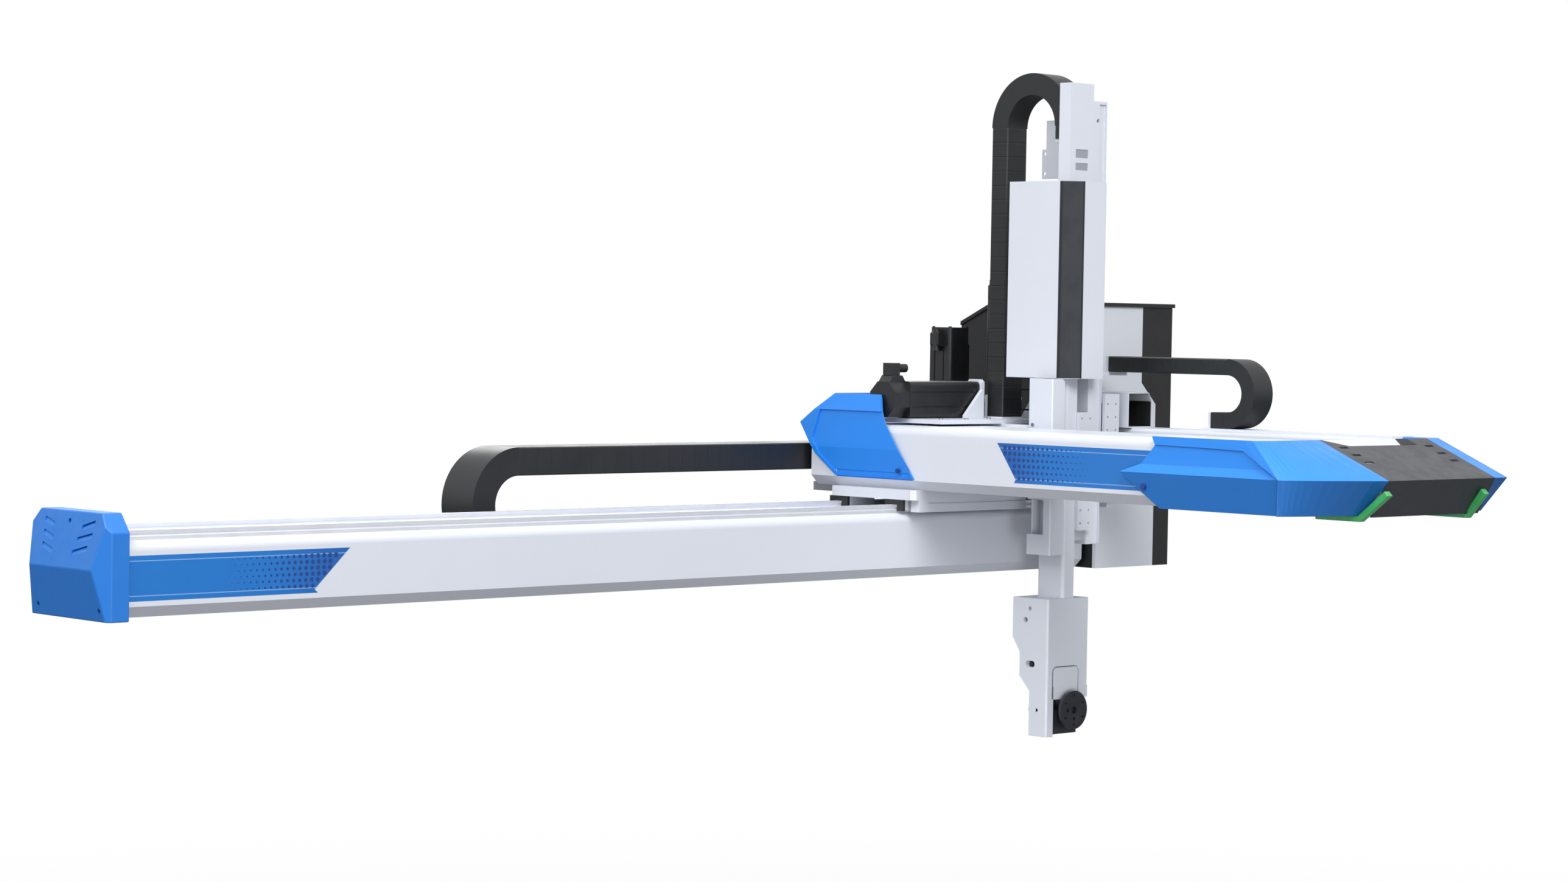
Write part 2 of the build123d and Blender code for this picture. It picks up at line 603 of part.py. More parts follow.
def motor_plug(reach, height):
    """A connector on the side of a motor: a block on the face x = 0 towards -X, and an elbow up it."""
    root = block(-reach, 0.5, -17, 17, -height / 2, height / 2)
    root = chamfer(root.edges().filter_by(Axis.Y).group_by(Axis.X)[0], 5)
    return root + rod("z", 10, -height / 2 - 12, height / 2 + 8, -reach + 9, 0)


def traverse_motor():
    """The vertical motor on the carriage's rear wing."""
    base = PLATE_TOP_Z + 92
    motor = servo_motor(TRAVERSE_MOTOR_SIDE, TRAVERSE_MOTOR_TOP_Z - base, 48, False)
    plug = Pos(-TRAVERSE_MOTOR_SIDE * 0.47, 0, TRAVERSE_MOTOR_TOP_Z - base - 34) * motor_plug(24, 42)
    return Pos(TRAVERSE_MOTOR_X, pinion_y(), base) * (motor + plug)


def traverse_gearbox():
    """The planetary gearbox between the wing and the traverse motor."""
    side = TRAVERSE_MOTOR_SIDE + 4
    flange = block(-side / 2, side / 2, -side / 2, side / 2, 0, 16)
    body = Pos(0, 0, 52) * Cylinder(side / 2 - 2, 78)
    top = block(-side / 2 + 2, side / 2 - 2, -side / 2 + 2, side / 2 - 2, 80, 92)
    body = flange + body + top
    body -= rod("z", PINION_BORE_RADIUS + 2, -1, 30, 0, 0)
    return Pos(TRAVERSE_MOTOR_X, pinion_y(), PLATE_TOP_Z) * body


def traverse_pinion():
    """The traverse pinion and its shaft up into the gearbox."""
    top = TRAVERSE_HEIGHT - PROFILE_TOP_RADIUS
    place = Pos(TRAVERSE_MOTOR_X, pinion_y(), top - RACK_FACE)
    shaft = rod("z", PINION_BORE_RADIUS, 0, PLATE_TOP_Z + 25 - (top - RACK_FACE), 0, 0)
    gear = pinion(RACK_FACE, PINION_BORE_RADIUS)
    start = TRAVERSE_START_X + RACK_END_MARGIN
    shift = tooth_middle(start, TRAVERSE_MOTOR_X) - TRAVERSE_MOTOR_X
    turn = math.degrees(shift / PINION_RADIUS)
    return place * Rot(0, 0, turn) * (gear + shaft)


def demould_beam():
    """The hollow demould beam, with a slanted rear end and bolt bosses in its foot."""
    profile = Plane.XZ.offset(-DEMOULD_REAR_Y) * beam_section(DEMOULD_HEIGHT)
    body = extrude(profile, DEMOULD_REAR_Y - DEMOULD_FRONT_Y)
    body = Pos(DEMOULD_CENTRE_X, 0, PLATE_TOP_Z) * body
    return body


def demould_rails():
    """The two rails on the demould beam's +X face."""
    length = -RAIL_END_MARGIN - DEMOULD_FRONT_Y + CARRIAGE_REAR_Y
    bar = rail_bar(SMALL_RAIL_WIDTH, SMALL_RAIL_HEIGHT, length)
    bar = Rot(0, 0, 90) * Rot(90, 0, 0) * bar
    low = bar.bounding_box()
    rails = []
    for i in range(2):
        z = PLATE_TOP_Z + DEMOULD_RAIL_LOW + i * DEMOULD_RAIL_PITCH
        shift = Pos(DEMOULD_RIGHT_X - low.min.X, CARRIAGE_REAR_Y - RAIL_END_MARGIN - low.max.Y, z)
        rails.append(shift * bar)
    return Compound(children=rails)


def faceted(side, plan, section, reach):
    """A moulded form that has the given side view (Y, Z), plan (X, Y) and cross section (X, Z)."""
    x0, x1, y0, y1, z0, z1 = reach
    body = prism("x", side, x0, x1)
    if plan:
        body &= prism("z", plan, z0, z1)
    return body & prism("y", section, y0, y1)


def cover_section(left, bottom, top, right, bulge_z, inset):
    """The cross section of a cover: its outer wall leans out to a crease at the bulge."""
    flat = left + COVER_BULGE
    return [(flat + inset, bottom + inset), (left + inset, bulge_z), (flat + inset, top - inset),
            (right, top - inset), (right, bottom + inset)]


def nose_cover():
    """The left nose cover: a faceted moulded shell with a stepped side panel, open inwards."""
    left = DEMOULD_LEFT_X - COVER_GAP - COVER_WALL - COVER_BULGE
    bottom = PLATE_TOP_Z - COVER_GAP - COVER_WALL
    top = DEMOULD_TOP_Z + COVER_GAP + COVER_WALL
    right = NOSE_PLATE_LEFT_X
    reach = (left - 1, right, NOSE_TIP_Y - 1, NOSE_REAR_Y + 1, bottom - 1, top + 1)
    side = [(NOSE_REAR_Y, NOSE_TIP_Z), (NOSE_TOP_REAR_Y, top), (NOSE_SHOULDER_Y, top),
            (NOSE_TIP_Y, NOSE_TIP_Z),
            (NOSE_BOTTOM_FRONT_Y, bottom), (NOSE_BOTTOM_REAR_Y, bottom)]
    corner_x = left + COVER_BULGE
    chamfer_y = NOSE_SHOULDER_Y - 10
    plan = [(left - 1, NOSE_REAR_Y + 1), (left - 1, chamfer_y + 22), (corner_x, chamfer_y),
            (right, NOSE_TIP_Y),
            (right, NOSE_REAR_Y + 1)]
    outer = faceted(side, plan, cover_section(left, bottom, top, right, NOSE_TIP_Z, 0), reach)
    panel = [(NOSE_REAR_Y + 1, NOSE_TIP_Z), (NOSE_REAR_Y + 1, bottom - 1),
             (NOSE_SHOULDER_Y - 35, bottom - 1),
             (NOSE_SHOULDER_Y - 35, NOSE_TIP_Z - 12), (NOSE_SHOULDER_Y - 75, NOSE_TIP_Z + 8),
             (NOSE_SHOULDER_Y + 15, top - 27), (NOSE_TOP_REAR_Y + 22, top - 14)]
    lowered = faceted(side, None, cover_section(left, bottom, top, right, NOSE_TIP_Z, PANEL_STEP), reach)
    skin = outer - (prism("x", panel, left - 1, corner_x + 30) - lowered)
    inner_plan = [(left - 1, NOSE_REAR_Y + 1), (left - 1, chamfer_y + 16), (corner_x + 6, chamfer_y + 6),
                  (right + 1, NOSE_TIP_Y + 9), (right + 1, NOSE_REAR_Y + 1)]
    wall = COVER_WALL
    inner_side = [(NOSE_REAR_Y + 50, NOSE_TIP_Z), (NOSE_TOP_REAR_Y + 50, top - wall),
                  (NOSE_SHOULDER_Y + 1, top - wall),
                  (NOSE_TIP_Y + 9, NOSE_TIP_Z), (NOSE_BOTTOM_FRONT_Y + 3, bottom + wall),
                  (NOSE_BOTTOM_REAR_Y + 50, bottom + wall)]
    inner_section = [(corner_x + wall, bottom + wall), (left + wall + PANEL_STEP, NOSE_TIP_Z),
                     (corner_x + wall, top - wall),
                     (right + 1, top - wall), (right + 1, bottom + wall)]
    reach = (left - 1, right + 1, NOSE_TIP_Y - 1, NOSE_REAR_Y + 60, bottom - 1, top + 1)
    skin -= faceted(inner_side, inner_plan, inner_section, reach)
    skin -= rod("x", 6, left - 1, left + 9, NOSE_REAR_Y - 87, bottom + 54)
    return skin


def nose_centre_x():
    """The plane about which the two nose covers mirror."""
    return (NOSE_PLATE_LEFT_X + NOSE_PLATE_RIGHT_X) / 2


def nose_cover_right():
    """The right nose cover, the left one's mirror image, cut short of the cabinet's side."""
    body = mirror(nose_cover(), Plane.YZ.offset(nose_centre_x()))
    body -= block(NOSE_PLATE_RIGHT_X - 1, TRAY_RIGHT_X + COVER_GAP, TRAY_FRONT_Y + 20, NOSE_REAR_Y + 1,
                  TRAY_TOP_Z - 4, TRAY_TOP_Z + 20)
    return body


def nose_plate():
    """The black folded plate between the covers, with three slots at each side."""
    thick = NOSE_PLATE_THICKNESS
    top = DEMOULD_TOP_Z + COVER_GAP + COVER_WALL
    bottom_y = NOSE_TIP_Y + 52
    rear = NOSE_SHOULDER_Y
    points = [(rear, top), (NOSE_TIP_Y, NOSE_TIP_Z), (bottom_y, PLATE_TOP_Z - 8),
              (bottom_y + thick * 1.4, PLATE_TOP_Z - 8),
              (NOSE_TIP_Y + thick * 1.6, NOSE_TIP_Z - 0.5), (rear, top - thick * 1.2)]
    left, right = NOSE_PLATE_LEFT_X + RUNNING_GAP, NOSE_PLATE_RIGHT_X - RUNNING_GAP
    body = prism("x", points, left, right)
    for x in (left + 45, right - 45):
        for i in range(3):
            y = rear - 42 - i * 40
            body -= block(x - 17, x + 17, y - 5, y + 5, NOSE_TIP_Z, top + 5)
    body += block(left, right, rear - 4, rear, DEMOULD_TOP_Z - 40, top - thick)
    return body


def light_strips():
    """The two light bars along the nose covers' lower front edges."""
    depth = LIGHT_STRIP_THICKNESS
    low = PLATE_TOP_Z - COVER_GAP - COVER_WALL - RUNNING_GAP * 2 - depth
    start = NOSE_SHOULDER_Y - 6
    bend = NOSE_BOTTOM_FRONT_Y - 2
    side = [(start, low + depth), (start, low), (bend - 4, low), (NOSE_TIP_Y - 10, NOSE_TIP_Z - 26),
            (NOSE_TIP_Y + 1, NOSE_TIP_Z - 16), (bend + 1, low + depth)]
    bars = []
    inside = NOSE_PLATE_LEFT_X - RUNNING_GAP
    bars.append(prism("x", side, inside - LIGHT_STRIP_WIDTH, inside))
    outside = NOSE_PLATE_RIGHT_X + RUNNING_GAP
    bars.append(prism("x", side, outside, outside + LIGHT_STRIP_WIDTH))
    return Compound(children=bars)


def nose_frame():
    """The cross plate that ties the demould beam and the tray beam together inside the nose."""
    front = DEMOULD_FRONT_Y - 12
    body = block(DEMOULD_LEFT_X + 4, TRAY_RIGHT_X - 2, front, DEMOULD_FRONT_Y, PLATE_TOP_Z + 6,
                 DEMOULD_TOP_Z - 6)
    for x0, x1 in ((DEMOULD_LEFT_X + 40, DEMOULD_RIGHT_X - 40), (DEMOULD_RIGHT_X + 50, TRAY_LEFT_X - 50)):
        body -= block(x0, x1, front - 1, DEMOULD_FRONT_Y + 1, PLATE_TOP_Z + 40, DEMOULD_TOP_Z - 40)
    return body


def tray_beam():
    """The hollow beam on the far side of the arm, with cross plates to the carriage."""
    body = block(TRAY_LEFT_X, TRAY_RIGHT_X, TRAY_FRONT_Y, CARRIAGE_REAR_Y, TRAY_BOTTOM_Z, TRAY_TOP_Z)
    body = fillet(body.edges().filter_by(Axis.Y), 10)
    wall = TRAY_WALL
    body -= block(TRAY_LEFT_X + wall, TRAY_RIGHT_X - wall, TRAY_FRONT_Y - 1, CARRIAGE_REAR_Y + 1,
                  TRAY_BOTTOM_Z + wall, TRAY_TOP_Z - wall)
    return body


def tray_posts():
    """The two posts that hold the tray beam above the carriage plate."""
    posts = []
    for y in (CARRIAGE_FRONT_Y + 20, CARRIAGE_REAR_Y - 80):
        outline = [(TRAY_LEFT_X + 12, PLATE_TOP_Z), (TRAY_RIGHT_X - 6, PLATE_TOP_Z),
                   (TRAY_RIGHT_X - 6, TRAY_BOTTOM_Z),
                   (TRAY_LEFT_X + 12, TRAY_BOTTOM_Z)]
        posts.append(prism("y", outline, y, y + 60))
    return Compound(children=posts)


def demould_rack():
    """The rack on the tray beam's inner face, teeth towards the arm."""
    length = CARRIAGE_REAR_Y - 10 - TRAY_FRONT_Y - 40
    bar = Rot(0, 0, 90) * rack(length, RACK_BACK, RACK_FACE)
    return Pos(TRAY_LEFT_X - RACK_BACK, TRAY_FRONT_Y + 40, TRAY_TOP_Z - 40) * bar


def hose_box():
    """The white sheet box on the tray beam that takes in the chain's hoses, open at its front."""
    left, right = HOSE_BOX_LEFT_X, HOSE_BOX_LEFT_X + HOSE_BOX_WIDTH
    front, rear = HOSE_BOX_FRONT_Y, HOSE_BOX_FRONT_Y + HOSE_BOX_LENGTH
    top = TRAY_TOP_Z + HOSE_BOX_HEIGHT
    outline = [(left, TRAY_TOP_Z), (right, TRAY_TOP_Z), (right, top - 24), (right - 14, top), (left, top)]
    body = prism("y", outline, front, rear)
    wall = SHEET
    room = [(left + wall, TRAY_TOP_Z + wall), (right - wall, TRAY_TOP_Z + wall), (right - wall, top - 25),
            (right - 15, top - wall), (left + wall, top - wall)]
    return body - prism("y", room, front - 1, rear - wall)


def demould_chain_centre_z():
    """The height of the middle of the demould chain's bend."""
    return TRAY_TOP_Z + CHAIN_LINER + DEMOULD_CHAIN_HEIGHT + DEMOULD_CHAIN_RADIUS


def demould_chain(piece):
    """One stretch of the demould energy chain: upper or lower run, or upper or lower half of its bend."""
    middle_z = demould_chain_centre_z()
    x0, x1 = DEMOULD_CHAIN_X, DEMOULD_CHAIN_X + DEMOULD_CHAIN_WIDTH
    radius = DEMOULD_CHAIN_RADIUS
    outer = radius + DEMOULD_CHAIN_HEIGHT
    if piece == "upper":
        return block(x0, x1, DEMOULD_BEND_Y, DEMOULD_CHAIN_END_Y, middle_z + radius, middle_z + outer)
    if piece == "lower":
        return block(x0, x1, DEMOULD_BEND_Y, DEMOULD_CHAIN_FIXED_Y, middle_z - outer, middle_z - radius)
    start = 90 if piece == "bend_upper" else 180
    arc = chain_arc(DEMOULD_CHAIN_WIDTH, DEMOULD_CHAIN_HEIGHT, radius, start)
    return Pos((x0 + x1) / 2, DEMOULD_BEND_Y, middle_z) * Rot(0, 0, 90) * arc


def chain_liner():
    """The shallow channel on the tray beam that the demould chain lies in."""
    x0, x1 = DEMOULD_CHAIN_X - 3, DEMOULD_CHAIN_X + DEMOULD_CHAIN_WIDTH + 3
    floor = TRAY_TOP_Z + CHAIN_LINER - RUNNING_GAP
    body = block(x0, x1, TRAY_FRONT_Y + 60, DEMOULD_CHAIN_FIXED_Y + 30, TRAY_TOP_Z, floor)
    front = DEMOULD_CHAIN_FIXED_Y + RUNNING_GAP
    return body + block(x0 + 3, x1 - 3, front, front + 8, floor, floor + DEMOULD_CHAIN_HEIGHT)


def lift_chain(piece):
    """One stretch of the vertical energy chain: fixed or moving leg, or rear or front half of its bend."""
    radius = LIFT_CHAIN_RADIUS
    outer = radius + LIFT_CHAIN_HEIGHT
    middle_y = LIFT_CHAIN_REAR_Y - outer
    x0, x1 = LIFT_CHAIN_X, LIFT_CHAIN_X + LIFT_CHAIN_WIDTH
    if piece == "fixed":
        return block(x0, x1, middle_y + radius, middle_y + outer, chain_foot_z(), LIFT_BEND_Z)
    if piece == "moving":
        return block(x0, x1, middle_y - outer, middle_y - radius, LIFT_CHAIN_END_Z, LIFT_BEND_Z)
    start = 0 if piece == "bend_rear" else 90
    arc = chain_arc(LIFT_CHAIN_WIDTH, LIFT_CHAIN_HEIGHT, radius, start)
    return Pos((x0 + x1) / 2, middle_y, LIFT_BEND_Z) * Rot(0, 0, 90) * arc


def chain_foot_z():
    """The height at which the vertical chain's fixed leg starts."""
    return base_top_z() + 5


def base_top_z():
    """The top of the arm carriage's base plate."""
    return DEMOULD_TOP_Z + BASE_PLATE_GAP + BASE_PLATE_THICKNESS


def demould_pinion_x():
    """The demould pinion's axis, where it meshes with the rack on the tray beam."""
    return TRAY_LEFT_X - RACK_BACK - PINION_RADIUS


def lift_pinion_y():
    """The lift pinion's axis, behind the rack on the outer arm stage."""
    return OUTER_REAR_Y + RACK_BACK + PINION_RADIUS


def arm_frame():
    """The arm carriage's frame: side plate on the demould rails, base plate, and right side plate."""
    left = ARM_BLOCK_OUT_X
    base_bottom = base_top_z() - BASE_PLATE_THICKNESS
    low = PLATE_TOP_Z + 12
    body = block(left, left + SIDE_PLATE_THICKNESS, SIDE_PLATE_FRONT_Y, SIDE_PLATE_REAR_Y, low, base_bottom)
    rear = DEMOULD_MOTOR_Y + DEMOULD_MOTOR_SIDE / 2
    right = demould_pinion_x() + 20
    body += block(BASE_PLATE_LEFT_X, right, -200, rear, base_bottom, base_top_z())
    front = OUTER_FRONT_Y
    right_plate = [(front, RIGHT_PLATE_LOW_Z), (OUTER_REAR_Y, RIGHT_PLATE_LOW_Z), (OUTER_REAR_Y + 28, low),
                   (-60, low), (-60, base_top_z()), (-110, RIGHT_PLATE_TOP_Z), (front, RIGHT_PLATE_TOP_Z)]
    body += prism("x", right_plate, RIGHT_PLATE_X, RIGHT_PLATE_X + SIDE_PLATE_THICKNESS)
    body -= rod("z", PINION_BORE_RADIUS + 1, base_bottom - 1, base_top_z() + 1, demould_pinion_x(),
                DEMOULD_MOTOR_Y)
    for y in (LIFT_MOTOR_Y, lift_pinion_y()):
        plate_end = RIGHT_PLATE_X + SIDE_PLATE_THICKNESS
        body -= rod("x", PINION_BORE_RADIUS + 1, RIGHT_PLATE_X - 1, plate_end + 1, y, LIFT_MOTOR_Z)
    return body


def arm_blocks():
    """The bearing blocks of the arm carriage on the demould rails."""
    one = small_block()
    one = Rot(0, 0, 90) * Rot(90, 0, 0) * one
    low = one.bounding_box()
    pieces = []
    for y in (SIDE_PLATE_FRONT_Y + 50, SIDE_PLATE_REAR_Y - 50):
        for i in range(2):
            z = PLATE_TOP_Z + DEMOULD_RAIL_LOW + i * DEMOULD_RAIL_PITCH
            pieces.append(Pos(ARM_BLOCK_OUT_X - low.max.X, y, z) * one)
    return Compound(children=pieces)


def lift_blocks():
    """The bearing blocks that hold the outer arm stage, on the right side plate."""
    one = small_block()
    one = mirror(Rot(0, -90, 0) * one, Plane.YZ)
    low = one.bounding_box()
    middle_y = (OUTER_FRONT_Y + OUTER_REAR_Y) / 2
    pieces = []
    for z in (RIGHT_PLATE_LOW_Z + 60, RIGHT_PLATE_TOP_Z - 65):
        pieces.append(Pos(RIGHT_PLATE_X - low.max.X, middle_y, z) * one)
    return Compound(children=pieces)


def guide_column():
    """The white column at the arm's left, with a recess low on its side and a tongue for the cover."""
    left, right = COLUMN_LEFT_X, COLUMN_RIGHT_X
    front, rear = COLUMN_FRONT_Y, SIDE_PLATE_FRONT_Y
    body = block(left, right, front, rear, COLUMN_BOTTOM_Z, COLUMN_TOP_Z)
    body = chamfer(body.edges().filter_by(Axis.Z), 3)
    body -= block(left - 1, left + 20, rear - 62, rear + 1, COLUMN_RECESS_BOTTOM_Z, COLUMN_RECESS_TOP_Z)
    body -= block(left + 10, right - 6, front + 8, rear - 6, COLUMN_BOTTOM_Z - 1, COLUMN_TOP_Z + 1)
    tongue = ARM_COVER_LEFT_X + SHEET + RUNNING_GAP
    body += block(tongue, tongue + 8, rear - 30, rear, COLUMN_TOP_Z - 30, ARM_COVER_TOP_Z - 40)
    return body


def right_front_plate():
    """The drilled plate across the right side plate's front edge."""
    front = OUTER_FRONT_Y - FRONT_PLATE_THICKNESS - ARM_GAP
    left, right = OUTER_RIGHT_X + 1, RIGHT_PLATE_X + SIDE_PLATE_THICKNESS + 12
    low = RIGHT_PLATE_LOW_Z + 15
    back = front + FRONT_PLATE_THICKNESS
    body = block(left, right, front, back, low, RIGHT_PLATE_TOP_Z)
    body += block(RIGHT_PLATE_X, RIGHT_PLATE_X + SIDE_PLATE_THICKNESS, back, OUTER_FRONT_Y, low + 10,
                  RIGHT_PLATE_TOP_Z - 10)
    for i in range(8):
        for x in (left + 12, right - 14):
            body -= rod("y", PLATE_HOLE_RADIUS, front - 1, back + 1, x, low + 20 + i * PLATE_HOLE_PITCH)
    return body


def arm_cover():
    """The bent sheet cover around the arm: left wall, corner bevel and front wall with a folded edge."""
    left, right = ARM_COVER_LEFT_X, ARM_COVER_RIGHT_X
    front, rear, bevel = ARM_COVER_FRONT_Y, ARM_COVER_REAR_Y, ARM_COVER_CHAMFER
    wall = SHEET
    outer = [(left, rear), (left, front + bevel), (left + bevel, front), (right, front),
             (right, front + 26),
             (right - wall, front + 26), (right - wall, front + wall), (left + bevel + 1.2, front + wall),
             (left + wall, front + bevel + 1.2), (left + wall, rear)]
    body = prism("z", outer, ARM_COVER_BOTTOM_Z, ARM_COVER_TOP_Z)
    for z in (ARM_COVER_TOP_Z - 57, ARM_COVER_BOTTOM_Z + 52):
        body -= rod("x", 4, right - wall - 1, right + 1, front + 14, z)
    return body


def chain_arm():
    """The bracket from the right side plate up to the demould chain's moving end."""
    plate = RIGHT_PLATE_X + SIDE_PLATE_THICKNESS
    run_z = demould_chain_centre_z() + DEMOULD_CHAIN_RADIUS
    y0, y1 = DEMOULD_CHAIN_END_Y + RUNNING_GAP, DEMOULD_CHAIN_END_Y + 90
    right = DEMOULD_CHAIN_X + DEMOULD_CHAIN_WIDTH
    body = block(plate, plate + 10, y0, y1, base_top_z(), run_z)
    body += block(plate, right, y0, y1, run_z - 10, run_z)
    return body + block(DEMOULD_CHAIN_X, right, y0, y0 + 8, run_z, run_z + DEMOULD_CHAIN_HEIGHT)


def chain_foot():
    """The foot of the vertical chain's fixed leg on the base plate."""
    x0, x1 = LIFT_CHAIN_X, LIFT_CHAIN_X + LIFT_CHAIN_WIDTH
    rear = LIFT_CHAIN_REAR_Y
    body = block(x0, x1, rear - LIFT_CHAIN_HEIGHT, rear, base_top_z(), chain_foot_z() - RUNNING_GAP)
    return body + block(x0, x1, rear + RUNNING_GAP, rear + 8, base_top_z(), chain_foot_z() + 60)


def lift_motor():
    """The lying lift motor, with its eight-sided rear end and elbow connector."""
    length = LIFT_FLANGE_X - LIFT_MOTOR_END_X
    motor = servo_motor(LIFT_MOTOR_SIDE, length, 58, True)
    motor = Pos(LIFT_FLANGE_X, LIFT_MOTOR_Y, LIFT_MOTOR_Z) * Rot(0, -90, 0) * motor
    neck_x = LIFT_MOTOR_END_X + 34
    top = LIFT_MOTOR_Z + LIFT_MOTOR_SIDE / 2
    neck = prism("y", [(neck_x - 30, top - 4), (neck_x + 34, top - 4), (neck_x + 20, top + 16),
                       (neck_x - 16, top + 16)], LIFT_MOTOR_Y - 22, LIFT_MOTOR_Y + 22)
    plug = block(neck_x - 18, neck_x + 16, LIFT_MOTOR_Y - 16, LIFT_MOTOR_Y + 16, top + 16, top + 50)
    elbow = rod("x", 12, neck_x + 16, neck_x + 52, LIFT_MOTOR_Y, top + 36)
    return motor + neck + plug + elbow


def lift_flange():
    """The flange plate of the lift motor with its diagonal gusset, on the base plate."""
    x0, x1 = LIFT_FLANGE_X, LIFT_FLANGE_X + LIFT_FLANGE_THICKNESS
    body = block(x0, x1, -154, 30, base_top_z(), LIFT_FLANGE_TOP_Z)
    body = chamfer(body.edges().filter_by(Axis.X).group_by(Axis.Z)[-1], 8)
    gusset = [(x0 - 95, base_top_z()), (x0, base_top_z()), (x0, base_top_z() + 84),
              (x0 - 12, base_top_z() + 84),
              (x0 - 95, base_top_z() + 8)]
    side = LIFT_MOTOR_Y - LIFT_MOTOR_SIDE / 2 - 6
    body += prism("y", gusset, side - GUSSET_THICKNESS, side)
    return body - rod("x", PINION_BORE_RADIUS + 1, x0 - 1, x1 + 1, LIFT_MOTOR_Y, LIFT_MOTOR_Z)


def pulley_shaft(y, start, end):
    """A belt pulley with its shaft along X."""
    pulley = rod("x", PULLEY_RADIUS, BELT_LEFT_X, BELT_LEFT_X + BELT_WIDTH, y, LIFT_MOTOR_Z)
    for x in (BELT_LEFT_X - 3, BELT_LEFT_X + BELT_WIDTH):
        pulley += rod("x", PULLEY_RADIUS + 4.5, x, x + 3, y, LIFT_MOTOR_Z)
    return pulley + rod("x", PINION_BORE_RADIUS, start, end, y, LIFT_MOTOR_Z)


def drive_shaft():
    """The shaft from the lift motor to the belt."""
    return pulley_shaft(LIFT_MOTOR_Y, LIFT_FLANGE_X + 1, RIGHT_PLATE_X + SIDE_PLATE_THICKNESS)


def lift_pinion():
    """The lift pinion, its pulley and its shaft."""
    x0 = OUTER_LEFT_X + 3
    y = lift_pinion_y()
    shift = tooth_middle(OUTER_BOTTOM_Z + 10, LIFT_MOTOR_Z) - LIFT_MOTOR_Z
    gear = Rot(0, 90, 0) * pinion(RACK_FACE, PINION_BORE_RADIUS)
    turn = math.degrees(shift / PINION_RADIUS)
    gear = Pos(x0, y, LIFT_MOTOR_Z) * Rot(-turn, 0, 0) * gear
    return gear + pulley_shaft(y, x0 - 1, RIGHT_PLATE_X + SIDE_PLATE_THICKNESS)


def lift_belt():
    """The toothed belt between the two pulleys."""
    def loop(radius, x0, x1):
        near, far = lift_pinion_y(), LIFT_MOTOR_Y
        ends = rod("x", radius, x0, x1, near, LIFT_MOTOR_Z) + rod("x", radius, x0, x1, far, LIFT_MOTOR_Z)
        return ends + block(x0, x1, near, far, LIFT_MOTOR_Z - radius, LIFT_MOTOR_Z + radius)
    inner = PULLEY_RADIUS + RUNNING_GAP
    x0, x1 = BELT_LEFT_X + 0.5, BELT_LEFT_X + BELT_WIDTH - 0.5
    return loop(inner + BELT_THICKNESS, x0, x1) - loop(inner, x0 - 1, x1 + 1)


def demould_drive():
    """The housing and flange that carry the demould motor above the base plate."""
    x, y = demould_pinion_x(), DEMOULD_MOTOR_Y
    half = DEMOULD_MOTOR_SIDE / 2 + 2
    body = rod("z", 21, base_top_z(), DEMOULD_MOTOR_BASE_Z - 12, x, y)
    body += block(x - half, x + half, y - half, y + half, DEMOULD_MOTOR_BASE_Z - 12, DEMOULD_MOTOR_BASE_Z)
    return body - rod("z", PINION_BORE_RADIUS + 2, base_top_z() - 1, base_top_z() + 40, x, y)


def demould_motor():
    """The vertical demould motor."""
    length = DEMOULD_MOTOR_TOP_Z - DEMOULD_MOTOR_BASE_Z
    motor = servo_motor(DEMOULD_MOTOR_SIDE, length, 48, False)
    plug = Pos(-DEMOULD_MOTOR_SIDE * 0.47, 0, length - 34) * motor_plug(24, 42)
    return Pos(demould_pinion_x(), DEMOULD_MOTOR_Y, DEMOULD_MOTOR_BASE_Z) * (motor + plug)


def demould_pinion():
    """The demould pinion and its shaft up into the housing."""
    z = TRAY_TOP_Z - 40
    shift = tooth_middle(TRAY_FRONT_Y + 40, DEMOULD_MOTOR_Y) - DEMOULD_MOTOR_Y
    turn = math.degrees(shift / PINION_RADIUS)
    gear = Rot(0, 0, turn) * pinion(RACK_FACE, PINION_BORE_RADIUS)
    shaft = rod("z", PINION_BORE_RADIUS, 0, base_top_z() + 36 - z, 0, 0)
    return Pos(demould_pinion_x(), DEMOULD_MOTOR_Y, z) * (gear + shaft)


def outer_stage():
    """The arm's outer stage: a channel with a recess down its front and open sides left and right."""
    left, right = OUTER_LEFT_X, OUTER_RIGHT_X
    front, rear = OUTER_FRONT_Y, OUTER_REAR_Y
    wall = OUTER_WALL
    body = block(left, right, front, rear, OUTER_BOTTOM_Z, OUTER_TOP_Z)
    body -= block(left + wall, right - wall, front + wall, rear - wall, OUTER_BOTTOM_Z - 1,
                  OUTER_TOP_Z - wall)
    body -= block(left + 25, right - 4, front - 1, front + 5, OUTER_BOTTOM_Z - 1, OUTER_TOP_Z - 8)
    return body - rod("y", 6, front - 1, front + wall + 1, left + 20, OUTER_TOP_Z - 54)


def outer_rail():
    """The rail on the outer stage's right face, which runs in the lift blocks."""
    length = OUTER_TOP_Z - OUTER_BOTTOM_Z - 20
    bar = Rot(0, -90, 0) * rail_bar(SMALL_RAIL_WIDTH, SMALL_RAIL_HEIGHT, length)
    bar = mirror(bar, Plane.YZ)
    low = bar.bounding_box()
    middle_y = (OUTER_FRONT_Y + OUTER_REAR_Y) / 2
    return Pos(OUTER_RIGHT_X - low.min.X, middle_y, OUTER_BOTTOM_Z + 10 - low.min.Z) * bar


def lift_rack():
    """The rack on the outer stage's rear face."""
    length = OUTER_TOP_Z - OUTER_BOTTOM_Z - 20
    bar = Rot(0, -90, 0) * rack(length, RACK_BACK, RACK_FACE)
    low = bar.bounding_box()
    x0 = OUTER_LEFT_X + 3
    return Pos(x0 - low.min.X, OUTER_REAR_Y + RACK_BACK, OUTER_BOTTOM_Z + 10 - low.min.Z) * bar


